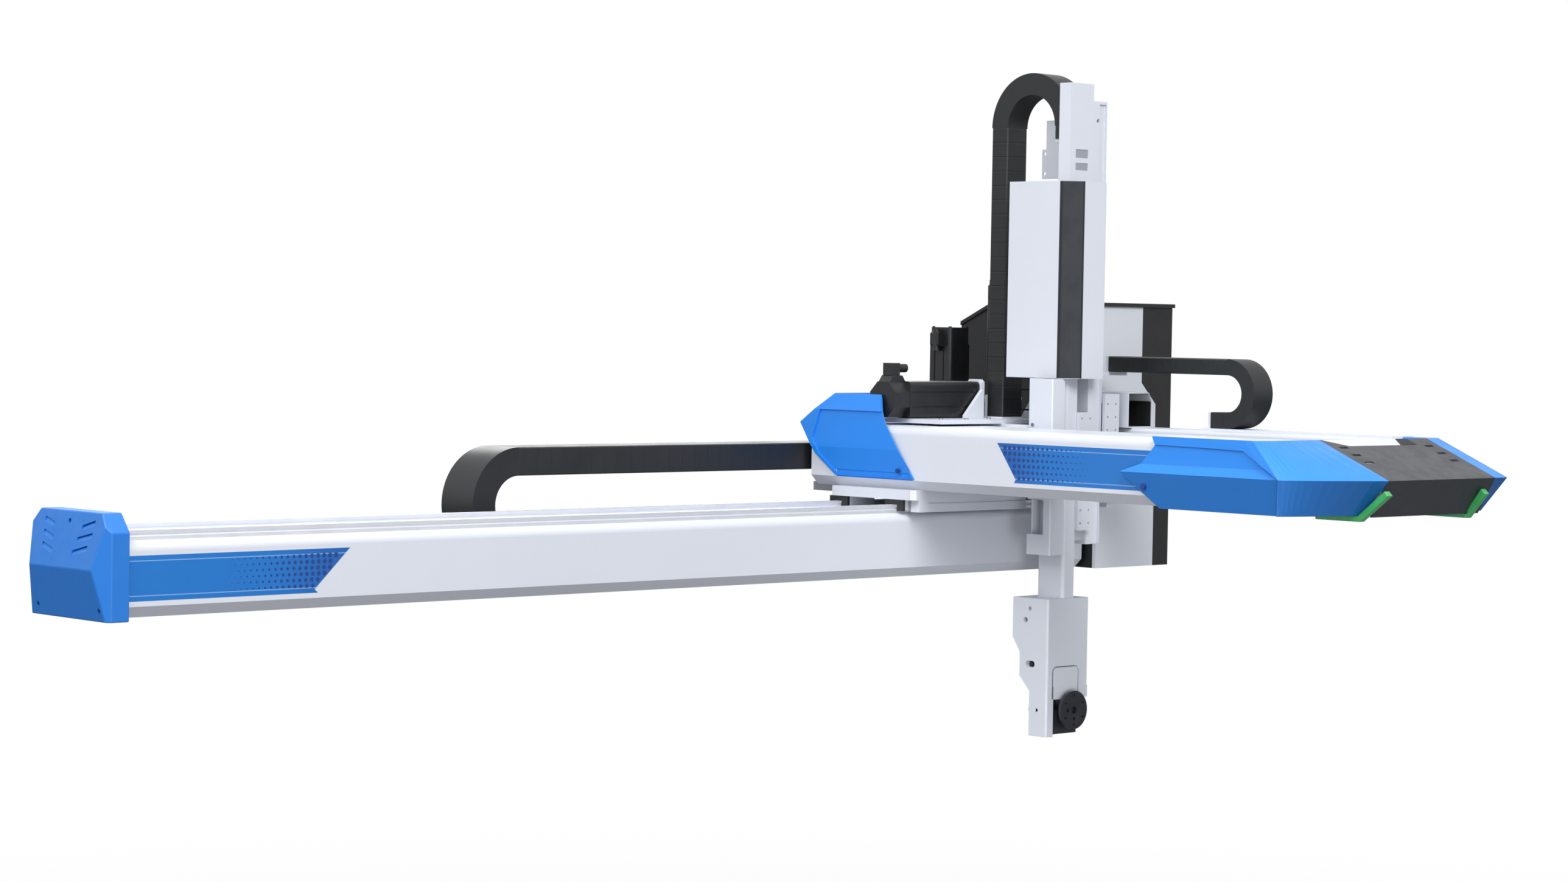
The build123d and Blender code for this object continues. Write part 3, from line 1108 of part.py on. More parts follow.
def head_guard():
    """The bent sheet guard at the top of the outer stage, with two window openings."""
    left, right = GUARD_LEFT_X, OUTER_LEFT_X
    front = OUTER_FRONT_Y
    body = block(left, right, front, front + SHEET, GUARD_BOTTOM_Z, GUARD_TOP_Z)
    body += block(left, left + SHEET, front, front + 41, GUARD_BOTTOM_Z, GUARD_TOP_Z)
    for low, height in ((63, 23), (29, 20)):
        z = GUARD_BOTTOM_Z + low
        body -= block(left + 24, left + 74, front - 1, front + SHEET + 1, z, z + height)
    return body


def rear_chain_plate():
    """The sheet plate behind the outer stage's head, to which the chain's moving leg is bolted."""
    x1 = OUTER_LEFT_X
    x0 = x1 - SHEET
    inner_y, rear_y = OUTER_REAR_Y - 40, OUTER_REAR_Y + 86
    low, step, top = OUTER_TOP_Z - 211, OUTER_TOP_Z - 129, OUTER_TOP_Z - 49
    outline = [(inner_y, low), (rear_y, low), (rear_y, step), (rear_y - 15, step), (rear_y - 15, top),
               (inner_y, top)]
    body = prism("x", outline, x0, x1)
    for z in (low + 15, step - 12):
        body -= rod("x", 5, x0 - 1, x1 + 1, rear_y - 10, z)
    front = LIFT_CHAIN_REAR_Y - 2 * (LIFT_CHAIN_RADIUS + LIFT_CHAIN_HEIGHT)
    rear = front + LIFT_CHAIN_HEIGHT
    foot = block(LIFT_CHAIN_X + 4, x1, front + 1, rear, LIFT_CHAIN_END_Z - 10,
                 LIFT_CHAIN_END_Z - RUNNING_GAP)
    return body + foot + block(x0, x1, front + 1, inner_y, LIFT_CHAIN_END_Z - 10, top)


def telescope_blocks():
    """The two bearing blocks low on the outer stage, which hold the inner stage's rail."""
    one = small_block()
    one = mirror(Rot(0, -90, 0) * one, Plane.YZ)
    low = one.bounding_box()
    spacer = block(INNER_RIGHT_X + SMALL_BLOCK_HEIGHT, OUTER_LEFT_X, -30, 30, -38, 38)
    middle_y = (INNER_FRONT_Y + INNER_REAR_Y) / 2
    shifted = Pos(INNER_RIGHT_X + SMALL_BLOCK_HEIGHT - low.max.X, 0, 0) * one
    low = OUTER_BOTTOM_Z + 50
    return Compound(children=[Pos(0, middle_y, z) * (shifted + spacer) for z in (low, low + 115)])


def telescope_plate():
    """The drilled plate over the telescope blocks, on the outer stage's front."""
    front = OUTER_FRONT_Y - FRONT_PLATE_THICKNESS - ARM_GAP - 3
    left, right = OUTER_LEFT_X - 52, OUTER_LEFT_X + 5
    low, high = OUTER_BOTTOM_Z + 40, OUTER_BOTTOM_Z + 365
    back = front + FRONT_PLATE_THICKNESS
    body = block(left, right, front, back, low, high)
    body += block(OUTER_LEFT_X - 20, right, back, OUTER_FRONT_Y, low + 10, high - 10)
    for i in range(9):
        for x in (left + 12, right - 12):
            body -= rod("y", PLATE_HOLE_RADIUS, front - 1, back + 1, x, low + 20 + i * PLATE_HOLE_PITCH)
    return body


def inner_stage():
    """The arm's inner stage: a round-cornered hollow column."""
    body = block(INNER_LEFT_X, INNER_RIGHT_X, INNER_FRONT_Y, INNER_REAR_Y, WRIST_TOP_Z, INNER_TOP_Z)
    left_edges = body.edges().filter_by(Axis.Z).group_by(Axis.X)[0]
    body = fillet(left_edges, 10)
    wall = INNER_WALL
    return body - block(INNER_LEFT_X + wall + 4, INNER_RIGHT_X - wall, INNER_FRONT_Y + wall + 4,
                        INNER_REAR_Y - wall - 4, WRIST_TOP_Z + 20, INNER_TOP_Z + 1)


def inner_rail():
    """The rail on the inner stage's right face."""
    length = INNER_TOP_Z - WRIST_TOP_Z - 40
    bar = mirror(Rot(0, -90, 0) * rail_bar(SMALL_RAIL_WIDTH, SMALL_RAIL_HEIGHT, length), Plane.YZ)
    low = bar.bounding_box()
    middle_y = (INNER_FRONT_Y + INNER_REAR_Y) / 2
    return Pos(INNER_RIGHT_X - low.min.X, middle_y, WRIST_TOP_Z + 30 - low.min.Z) * bar


def wrist_side():
    """The wrist box's side view in Y and Z: two steps at the rear."""
    front, rear = WRIST_FRONT_Y, WRIST_REAR_Y
    z = PIVOT_Z
    return [(front, WRIST_TOP_Z), (rear, WRIST_TOP_Z), (rear, z + 195), (rear - 28, z + 155),
            (rear - 28, z + 89),
            (rear - 66, z + 49), (rear - 66, WRIST_BOTTOM_Z), (front, WRIST_BOTTOM_Z)]


def wrist_box():
    """The wrist housing: closed above, open in front and below between its cheeks for the tilting head."""
    left, right = WRIST_LEFT_X, WRIST_RIGHT_X
    body = prism("x", wrist_side(), left, right)
    body = fillet(body.edges().filter_by(Axis.Z).group_by(Axis.Y)[0], 6)
    inside_left = left + 28
    floor = PIVOT_Z + 62
    wall = WRIST_WALL
    room = [(WRIST_FRONT_Y + wall, WRIST_TOP_Z - 60), (WRIST_REAR_Y - wall, WRIST_TOP_Z - 60),
            (WRIST_REAR_Y - wall, PIVOT_Z + 201), (WRIST_REAR_Y - 28 - wall, PIVOT_Z + 163),
            (WRIST_REAR_Y - 28 - wall, floor + 12),
            (WRIST_FRONT_Y + wall, floor + 12)]
    body -= prism("x", room, left + wall, right - wall)
    opening = [(WRIST_FRONT_Y - 1, floor), (WRIST_REAR_Y + 1, floor),
               (WRIST_REAR_Y + 1, WRIST_BOTTOM_Z - 1),
               (WRIST_FRONT_Y - 1, WRIST_BOTTOM_Z - 1)]
    body -= prism("x", opening, inside_left, right + 1)
    for dy, dz, radius in ((15, 276, 6), (31, 244, 8), (-16, -1, 5)):
        body -= rod("x", radius, left - 1, left + wall + 1, PIVOT_Y + dy, PIVOT_Z + dz)
    slot_front, slot_z = PIVOT_Y + 3, PIVOT_Z + 124
    slot = block(left - 1, left + wall + 1, slot_front, slot_front + 16, slot_z - 9, slot_z + 9)
    for y in (slot_front, slot_front + 16):
        slot += rod("x", 9, left - 1, left + wall + 1, y, slot_z)
    body -= slot
    return body - rod("x", PIVOT_RADIUS + 0.05, left - 1, inside_left + 1, PIVOT_Y, PIVOT_Z)


def wrist_hatch():
    """The round-topped hatch plate on the wrist's front, with its screw."""
    left, right = WRIST_LEFT_X + 23, WRIST_RIGHT_X - 43
    body = block(left, right, WRIST_FRONT_Y - 3, WRIST_FRONT_Y - 0.3, PIVOT_Z + 64, PIVOT_Z + 117)
    body = fillet(body.edges().filter_by(Axis.Y).group_by(Axis.Z)[-1], 12)
    return body + rod("y", 3, WRIST_FRONT_Y - 0.3, WRIST_FRONT_Y, left + 26, PIVOT_Z + 99)


def wrist_head():
    """The tilting head: a pivot pin and drum along X, with an arm to the tool disc and a lower plate."""
    left = WRIST_LEFT_X + 29
    right = WRIST_RIGHT_X - 44
    drum = rod("x", 30, left, right, PIVOT_Y, PIVOT_Z)
    pin = rod("x", PIVOT_RADIUS, WRIST_LEFT_X + 2, left, PIVOT_Y, PIVOT_Z)
    disc_back = TOOL_DISC_FRONT_Y + TOOL_DISC_THICKNESS
    hub = rod("y", 26, disc_back, PIVOT_Y, tool_x(), PIVOT_Z)
    plate = block(left, right, WRIST_FRONT_Y, WRIST_FRONT_Y + 10, PIVOT_Z - 66, PIVOT_Z)
    cut = rod("y", 20, WRIST_FRONT_Y - 1, WRIST_FRONT_Y + 11, left + 46, PIVOT_Z - 14)
    rib = block(left, left + 10, WRIST_FRONT_Y + 10, PIVOT_Y, PIVOT_Z - 40, PIVOT_Z)
    return drum + pin + (plate - cut) + hub + rib


def tool_x():
    """The tool disc's axis."""
    return (WRIST_LEFT_X + WRIST_RIGHT_X) / 2


def tool_disc():
    """The round tool plate with its bore, bolt circle and two slots."""
    front = TOOL_DISC_FRONT_Y
    back = front + TOOL_DISC_THICKNESS
    x, z = tool_x(), PIVOT_Z
    body = rod("y", TOOL_DISC_RADIUS, front, back, x, z)
    body -= rod("y", TOOL_BORE_RADIUS, front - 1, back + 1, x, z)
    for i in range(TOOL_BOLT_COUNT):
        angle = math.radians(90 + i * 360 / TOOL_BOLT_COUNT)
        dx, dz = TOOL_BOLT_CIRCLE / 2 * math.cos(angle), TOOL_BOLT_CIRCLE / 2 * math.sin(angle)
        body -= rod("y", TOOL_BOLT_RADIUS, front - 1, back + 1, x + dx, z + dz)
    for dx, dz in ((-26, 0), (0, -24)):
        body -= rod("y", 5, front - 1, front + 6, x + dx, z + dz)
    return body


def rear_cover():
    """The moulded cover round the demould beam's rear end; its left wall runs on towards the arm."""
    wall = COVER_WALL
    left = DEMOULD_LEFT_X - COVER_GAP - wall - COVER_BULGE
    flat = left + COVER_BULGE
    right = DEMOULD_RIGHT_X + SMALL_RAIL_HEIGHT + COVER_GAP
    top = DEMOULD_TOP_Z + 83
    bottom = PLATE_TOP_Z + 29
    side = [(264, 411), (205, 325), (132, bottom), (-174, bottom), (-65, 419), (-40, top), (138, top)]
    reach = (left - 1, right + 1, -175, 265, bottom - 1, top + 1)
    section = [(flat, bottom), (left, bottom + 78), (left, top - 46), (flat, top), (right - 10, top),
               (right, top - 46),
               (right, bottom + 78), (right - 8, bottom)]
    outer = faceted(side, None, section, reach)
    groove_section = [(x + (PANEL_STEP if x < 0 else 0), z) for x, z in section]
    panel = [(185, top - 46), (-130, top - 46), (-161, bottom + 3), (120, bottom + 3), (190, 325),
             (215, 370)]
    lowered = faceted(side, None, groove_section, reach)
    skin = outer - (prism("x", panel, left - 1, flat + 20) - lowered)
    inner_side = [(254, 411), (199, 327), (128, bottom - 1), (-176, bottom - 1), (-69, 419),
                  (-44, top - wall),
                  (135, top - wall)]
    inner_section = [(flat + wall, bottom - 1), (left + wall + PANEL_STEP, bottom + 78),
                     (left + wall + PANEL_STEP, top - 46), (flat + wall + 2, top - wall),
                     (right - 14, top - wall),
                     (right - wall, top - 46), (right - wall, bottom + 78), (right - 12, bottom - 1)]
    inner_reach = (left - 1, right + 1, -177, 256, bottom - 2, top + 1)
    skin -= faceted(inner_side, None, inner_section, inner_reach)
    plate_rear = DEMOULD_MOTOR_Y + DEMOULD_MOTOR_SIDE / 2
    room_front = plate_rear + DEMOULD_TRAVEL_REAR + TRAVEL_ROOM
    skin -= block(flat + wall + 1, right + 2, -180, room_front, bottom - 5, top + 5)
    skin -= block(DEMOULD_LEFT_X - COVER_GAP, DEMOULD_RIGHT_X + COVER_GAP, -180, DEMOULD_REAR_Y + COVER_GAP,
                  bottom - 5, DEMOULD_TOP_Z + COVER_GAP)
    return skin - rod("x", 6, left - 1, left + 14, -117, bottom + 22)


def group(*pieces):
    """Separate solids that share one file."""
    solids = []
    for piece in pieces:
        solids += piece.solids()
    return Compound(children=solids)


PARTS = {
    "traverse_beam": traverse_beam,
    "traverse_rails": traverse_rails,
    "traverse_rack": traverse_rack,
    "beam_end_cap": end_cap,
    "chain_tray": chain_tray,
    "traverse_chain_lower": lambda: traverse_chain("lower"),
    "traverse_chain_upper": lambda: traverse_chain("upper"),
    "traverse_bend_lower": lambda: traverse_chain("bend_lower"),
    "traverse_bend_upper": lambda: traverse_chain("bend_upper"),
    "cabinet_carcass": lambda: group(cabinet_carcass(), cabinet_trim(), cabinet_bracket()),
    "cabinet_door": cabinet_door,
    "cabinet_hood": cabinet_hood,
    "carriage_plate": carriage_plate,
    "carriage_blocks": carriage_blocks,
    "rail_wipers": rail_wipers,
    "traverse_gearbox": traverse_gearbox,
    "traverse_motor": traverse_motor,
    "traverse_pinion": traverse_pinion,
    "demould_beam": demould_beam,
    "demould_rails": demould_rails,
    "rear_cover": rear_cover,
    "nose_cover_left": nose_cover,
    "nose_cover_right": nose_cover_right,
    "nose_plate": nose_plate,
    "light_strips": light_strips,
    "nose_frame": nose_frame,
    "tray_beam": lambda: group(tray_beam(), tray_posts(), chain_liner()),
    "demould_rack": demould_rack,
    "hose_box": hose_box,
    "demould_chain_lower": lambda: demould_chain("lower"),
    "demould_chain_upper": lambda: demould_chain("upper"),
    "demould_bend_lower": lambda: demould_chain("bend_lower"),
    "demould_bend_upper": lambda: demould_chain("bend_upper"),
    "arm_frame": lambda: group(arm_frame(), chain_arm(), chain_foot()),
    "arm_blocks": lambda: group(arm_blocks(), lift_blocks()),
    "guide_column": guide_column,
    "right_front_plate": right_front_plate,
    "arm_cover": arm_cover,
    "lift_motor": lift_motor,
    "lift_flange": lift_flange,
    "drive_shaft": drive_shaft,
    "lift_pinion": lift_pinion,
    "lift_belt": lift_belt,
    "demould_drive": demould_drive,
    "demould_motor": demould_motor,
    "demould_pinion": demould_pinion,
    "lift_chain_fixed": lambda: lift_chain("fixed"),
    "lift_chain_moving": lambda: lift_chain("moving"),
    "lift_bend_rear": lambda: lift_chain("bend_rear"),
    "lift_bend_front": lambda: lift_chain("bend_front"),
    "outer_stage": outer_stage,
    "outer_rail": lambda: group(outer_rail(), lift_rack()),
    "head_guard": lambda: group(head_guard(), rear_chain_plate()),
    "telescope_blocks": telescope_blocks,
    "telescope_plate": telescope_plate,
    "inner_stage": lambda: group(inner_stage(), inner_rail()),
    "wrist_box": wrist_box,
    "wrist_hatch": wrist_hatch,
    "wrist_head": wrist_head,
    "tool_disc": tool_disc,
}


def main():
    """Build every part and write each to its own file."""
    os.makedirs("parts", exist_ok=True)
    for name, make in PARTS.items():
        export_step(make(), f"parts/{name}.step")
        print(name)


if __name__ == "__main__":
    main()
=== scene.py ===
import json
import logging
import math
from dataclasses import dataclass, field
from enum import Enum
from itertools import product
from typing import Any, ClassVar, Optional, Union

import bmesh
import bpy
from mathutils import Matrix, Vector

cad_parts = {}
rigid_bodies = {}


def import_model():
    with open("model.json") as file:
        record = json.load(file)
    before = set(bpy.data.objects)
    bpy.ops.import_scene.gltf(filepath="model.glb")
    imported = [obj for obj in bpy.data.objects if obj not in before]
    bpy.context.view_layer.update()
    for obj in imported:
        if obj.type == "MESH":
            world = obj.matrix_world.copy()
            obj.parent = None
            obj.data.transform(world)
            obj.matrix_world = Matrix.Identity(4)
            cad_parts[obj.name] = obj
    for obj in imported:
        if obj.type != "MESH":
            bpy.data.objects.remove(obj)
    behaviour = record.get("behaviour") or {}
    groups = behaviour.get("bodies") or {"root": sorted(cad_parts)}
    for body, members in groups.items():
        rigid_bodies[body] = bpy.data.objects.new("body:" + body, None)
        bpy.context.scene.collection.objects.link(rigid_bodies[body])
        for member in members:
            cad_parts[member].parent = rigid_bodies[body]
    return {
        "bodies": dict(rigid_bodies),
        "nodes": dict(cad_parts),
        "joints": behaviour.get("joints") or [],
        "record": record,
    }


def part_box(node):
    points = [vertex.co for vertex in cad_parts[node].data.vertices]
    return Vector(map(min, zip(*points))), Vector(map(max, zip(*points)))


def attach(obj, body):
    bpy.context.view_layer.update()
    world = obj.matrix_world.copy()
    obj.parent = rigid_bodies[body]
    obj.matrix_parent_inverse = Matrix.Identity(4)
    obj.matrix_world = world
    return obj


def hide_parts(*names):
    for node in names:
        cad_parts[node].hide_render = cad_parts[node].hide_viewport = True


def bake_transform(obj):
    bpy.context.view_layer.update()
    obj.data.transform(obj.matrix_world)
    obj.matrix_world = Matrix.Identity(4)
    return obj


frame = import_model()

log = logging.getLogger("cartesian_robot")

Number = Union[int, float]
Point = tuple[float, float, float]
Flat = tuple[float, float]
Outline = tuple[Flat, ...]
Grid = tuple[tuple[float, ...], tuple[float, ...], tuple[float, ...]]
Colour = tuple[float, float, float]

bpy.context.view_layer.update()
MM = 0.001
SIXTH_TURN = 1.047


# Node trees and shader maths


def add_node(tree: bpy.types.NodeTree, kind: str, settings: dict[str, Any], values: dict[Any, Any],
             out: Any = 0) -> bpy.types.NodeSocket:
    """Adds any node to a tree: its settings first, and then its sockets' values or links.

    Args:
        tree: The tree of a material, a world or a modifier.
        kind: The node's type.
        settings: What is set on the node itself.
        values: A value, a Field, a socket or a list of sockets for each input, by name or number.
        out: The output socket to give back, by name or number.

    Returns:
        The chosen output socket.
    """
    made = tree.nodes.new(kind)
    for name, value in settings.items():
        setattr(made, name, value)
    for name, value in values.items():
        for part in value if isinstance(value, list) else [value]:
            source = part.socket if isinstance(part, Field) else part
            if isinstance(source, bpy.types.NodeSocket):
                tree.links.new(source, made.inputs[name])
            else:
                made.inputs[name].default_value = source
    return made.outputs[out]


class Field:
    """A shader socket that can be used in Python expressions."""

    def __init__(self, shader: "Shader", socket: bpy.types.NodeSocket) -> None:
        """Wraps a socket.

        Args:
            shader: The shader whose tree the socket is in.
            socket: The output socket that carries the value.
        """
        self.shader = shader
        self.socket = socket

    def _maths(self, operation: str, *values: Any) -> "Field":
        """Adds one Math node on these values."""
        return self.shader.node("ShaderNodeMath", {"operation": operation}, dict(enumerate(values)))

    def __add__(self, other: Any) -> "Field":
        """Sum."""
        return self._maths("ADD", self, other)

    __radd__ = __add__

    def __sub__(self, other: Any) -> "Field":
        """Difference."""
        return self._maths("SUBTRACT", self, other)

    def __rsub__(self, other: Any) -> "Field":
        """Reflected difference, as in 1 - mask."""
        return self._maths("SUBTRACT", other, self)

    def __mul__(self, other: Any) -> "Field":
        """Product."""
        return self._maths("MULTIPLY", self, other)

    __rmul__ = __mul__

    def __truediv__(self, other: Any) -> "Field":
        """Quotient."""
        return self._maths("DIVIDE", self, other)

    def fraction(self) -> "Field":
        """What is left after the whole number."""
        return self._maths("FRACT", self)

    def size(self) -> "Field":
        """The value without its sign."""
        return self._maths("ABSOLUTE", self)

    def least(self, other: Any) -> "Field":
        """The smaller of the two."""
        return self._maths("MINIMUM", self, other)

    def ramp(self, low: float, high: float, to_low: float = 0.0, to_high: float = 1.0) -> "Field":
        """Turns smoothly from to_low at low to to_high at high, and stays there beyond them.

        Args:
            low: The value where the turn begins.
            high: The value where the turn ends.
            to_low: The result at and before low.
            to_high: The result at and after high.

        Returns:
            The smoothed field.
        """
        settings = {"interpolation_type": "SMOOTHSTEP", "clamp": True}
        values = {0: self, 1: low, 2: high, 3: to_low, 4: to_high}
        return self.shader.node("ShaderNodeMapRange", settings, values)


class Shader:
    """A material under construction, with its tree and its Principled shader."""

    def __init__(self, name: str) -> None:
        """Starts a material with nothing but its output and its Principled shader.

        Args:
            name: The material's name.
        """
        self.material = bpy.data.materials.new(name)
        self.material.use_nodes = True
        self.tree = self.material.node_tree
        self.tree.nodes.clear()
        self.output = self.tree.nodes.new("ShaderNodeOutputMaterial")
        self.surface = self.tree.nodes.new("ShaderNodeBsdfPrincipled")
        self.tree.links.new(self.surface.outputs[0], self.output.inputs["Surface"])
        self._place: Optional[Field] = None

    def node(self, kind: str, settings: dict[str, Any], values: dict[Any, Any], out: Any = 0) -> Field:
        """Adds any node, as add_node does, and gives the chosen output as a Field."""
        return Field(self, add_node(self.tree, kind, settings, values, out))

    @property
    def place(self) -> Field:
        """Object coordinates, which are the machine's own metres at rest.

        Returns:
            The place, read from one node for the whole material.
        """
        if self._place is None:
            self._place = self.node("ShaderNodeTexCoord", {}, {}, "Object")
        return self._place

    def axis(self, name: str) -> Field:
        """One coordinate of the place, by its letter."""
        return self.node("ShaderNodeSeparateXYZ", {}, {0: self.place}, name)

    def stretched(self, scale: Point) -> Field:
        """The place with each axis multiplied by its own number."""
        return self.node("ShaderNodeMapping", {}, {"Vector": self.place, "Scale": scale})

    def noise(self, scale: float, detail: float = 3.0, rough: float = 0.55,
              stretch: Point = (1, 1, 1)) -> Field:
        """Noise over the place.

        Args:
            scale: Blobs per metre, about.
            detail: Layers of finer noise.
            rough: Weight of the finer layers.
            stretch: A number for each axis, where less than 1 draws the noise out along it.

        Returns:
            A value about 0.5.
        """
        values = {"Vector": self.stretched(stretch), "Scale": scale, "Detail": detail, "Roughness": rough}
        return self.node("ShaderNodeTexNoise", {"noise_dimensions": "3D"}, values, 0)

    def mix(self, amount: Any, under: Any, over: Any) -> Field:
        """Mixes two colours.

        Args:
            amount: 0 for the first colour and 1 for the second.
            under: The first colour, as a Field or three numbers.
            over: The second colour.

        Returns:
            The mixed colour.
        """
        ends = [value if isinstance(value, Field) else (*value, 1.0) for value in (under, over)]
        settings = {"data_type": "RGBA", "blend_type": "MIX"}
        return self.node("ShaderNodeMix", settings, {0: amount, 6: ends[0], 7: ends[1]}, 2)

    def set(self, **sockets: Any) -> None:
        """Sets or links the Principled shader's sockets.

        Args:
            sockets: A number, a colour or a Field for each socket, with _ for a space in its name.
        """
        for name, value in sockets.items():
            socket = self.surface.inputs[name.replace("_", " ")]
            if isinstance(value, Field):
                self.tree.links.new(value.socket, socket)
            elif isinstance(value, tuple) and len(value) == 3:
                socket.default_value = (*value, 1.0)
            else:
                socket.default_value = value

    def bump(self, height: Field, distance: float, strength: float = 1.0) -> None:
        """Gives the surface relief.

        Args:
            height: The relief, from 0 to 1.
            distance: The relief's depth in metres.
            strength: How much of it shows.
        """
        values = {"Height": height, "Distance": distance, "Strength": strength}
        self.set(Normal=self.node("ShaderNodeBump", {}, values))


def shade(colour: Colour, factor: float) -> Colour:
    """A colour made lighter or darker by one factor."""
    return tuple(min(1.0, value * factor) for value in colour)


def linear(value: Number) -> float:
    """Turns one channel of a screen colour into light, by the sRGB curve.

    Args:
        value: The channel, from 0 to 255.

    Returns:
        The light, from 0 to 1.
    """
    part = value / 255
    if part <= 0.04045:
        return part / 12.92
    return ((part + 0.055) / 1.055) ** 2.4


def grey_of(red: Number, green: Number, blue: Number) -> Colour:
    """A screen colour, 0 to 255, as the linear colour that renders so."""
    return linear(red), linear(green), linear(blue)


# Finishes


@dataclass(frozen=True)
class Finish:
    """A surface of the machine."""

    name: str

    def build(self) -> bpy.types.Material:
        """Makes the material.

        Returns:
            The finished material.
        """
        shader = Shader(self.name)
        self.paint(shader)
        return shader.material

    def paint(self, s: Shader) -> None:
        """Sets the shader's colour, roughness and relief."""
        raise NotImplementedError


@dataclass(frozen=True)
class PaintFinish(Finish):
    """Satin paint or powder coat, with cloudy tone, fine grain, dust in patches, small rubs, and painted
    shade on faces that look down where asked.
    """

    colour: Colour
    roughness: float = 0.42
    cloud: float = 0.05
    grain: float = 1400.0
    grain_depth: float = 0.00002
    coat: float = 0.0
    metallic: float = 0.0
    dust: float = 1.0
    # under: share of painted shade on the faces that look down, 0 for none.
    under: float = 0.0

    def paint(self, s: Shader) -> None:
        """Lays the paint: clouds, dust, painted shade on faces that look down where asked, rubs and orange
        peel.

        Args:
            s: The shader of the finish.
        """
        cloud = s.noise(2.2, 4, 0.6)
        streak = s.noise(7, 3, 0.6, (1, 1, 0.25))
        tone = s.mix(cloud, shade(self.colour, 1 - self.cloud), shade(self.colour, 1 + self.cloud))
        dust = s.noise(38, 5, 0.7).ramp(0.52, 0.78) * streak.ramp(0.4, 0.75) * (0.14 * self.dust)
        tone = s.mix(dust, tone, shade(self.colour, 0.86))
        # Painted shade: faces that look down are darkened towards 0.3 of the colour, by the share in under.
        if self.under:
            way = s.node("ShaderNodeTexCoord", {}, {}, "Normal")
            painted_under_shade = s.node("ShaderNodeSeparateXYZ", {}, {0: way}, "Z").ramp(-0.1, 0.03, self.under, 0.0)
            tone = s.mix(painted_under_shade, tone, shade(self.colour, 0.3))
        s.set(Base_Color=tone)
        rub = s.noise(16, 6, 0.65).ramp(0.35, 0.75, -0.06, 0.1)
        s.set(Roughness=rub + self.roughness + dust * 0.3, Metallic=self.metallic, Coat_Weight=self.coat)
        s.bump(s.noise(self.grain, 2, 0.5), self.grain_depth, 0.6)


@dataclass(frozen=True)
class MetalFinish(Finish):
    """Ground, drawn or milled metal: fine lines along one axis, tarnish clouds and oil."""

    colour: Colour
    lines: Point = (0.02, 1, 1)
    roughness: float = 0.3
    oil: float = 0.3
    metallic: float = 1.0

    def paint(self, s: Shader) -> None:
        """Lays the metal: fine lines, and clouds of oil that darken and smooth it.

        Args:
            s: The shader of the finish.
        """
        lines = s.noise(900, 3, 0.6, self.lines)
        cloud = s.noise(9, 4, 0.6).ramp(0.35, 0.7)
        bright = s.mix(lines, shade(self.colour, 0.93), shade(self.colour, 1.06))
        s.set(Base_Color=s.mix(cloud * self.oil, bright, shade(self.colour, 0.62)))
        s.set(Metallic=self.metallic, Roughness=lines * 0.16 + self.roughness - cloud * 0.08)
        s.bump(lines, 0.000008, 0.4)


@dataclass(frozen=True)
class MouldedFinish(Finish):
    """Moulded plastic or rubber with a spark-eroded grain and a worn sheen."""

    colour: Colour
    roughness: float = 0.45
    grain: float = 900.0
    depth: float = 0.00004
    coat: float = 0.0

    def paint(self, s: Shader) -> None:
        """Lays the plastic: worn sheen, pale specks and grain.

        Args:
            s: The shader of the finish.
        """
        sheen = s.noise(5, 4, 0.6)
        tone = s.mix(sheen, shade(self.colour, 0.92), shade(self.colour, 1.08))
        pale = tuple(value * 0.8 + 0.06 for value in self.colour)
        specks = s.noise(160, 4, 0.6).ramp(0.62, 0.8) * 0.35
        s.set(Base_Color=s.mix(specks, tone, pale), Coat_Weight=self.coat, Coat_Roughness=0.25)
        s.set(Roughness=sheen.ramp(0.3, 0.7, -0.05, 0.07) + self.roughness)
        s.bump(s.noise(self.grain, 3, 0.6), self.depth, 0.7)


class Run(Enum):
    """The axis that a cable chain's run follows."""

    ALONG_X = "X"
    ALONG_Y = "Y"
    ALONG_Z = "Z"


@dataclass(frozen=True)
class ChainFinish(Finish):
    """Dark links side by side: a fine seam at each link and a snap-in lid between."""

    run: Run
    pitch: float
    colour: Colour
    seam: float = 0.06

    def paint(self, s: Shader) -> None:
        """Lays the links: a seam and a lid at each pitch, over clouded plastic.

        Args:
            s: The shader of the finish.
        """
        step = (s.axis(self.run.value) / self.pitch).fraction()
        near = (step - 0.5).size()
        seam = near.ramp(0.5 - self.seam, 0.5)
        lid = near.ramp(0.24, 0.27)
        cloud = s.noise(6, 4, 0.6)
        tone = s.mix(cloud, shade(self.colour, 0.85), shade(self.colour, 1.15))
        lidded = s.mix(lid * 0.3, tone, shade(self.colour, 0.8))
        s.set(Base_Color=s.mix(seam * 0.65, lidded, shade(self.colour, 0.35)))
        s.set(Roughness=cloud.ramp(0.3, 0.7, 0.4, 0.55))
        s.bump((1 - seam) * 0.7 + lid * 0.15 + s.noise(1100, 2, 0.5) * 0.1, 0.0008, 0.6)


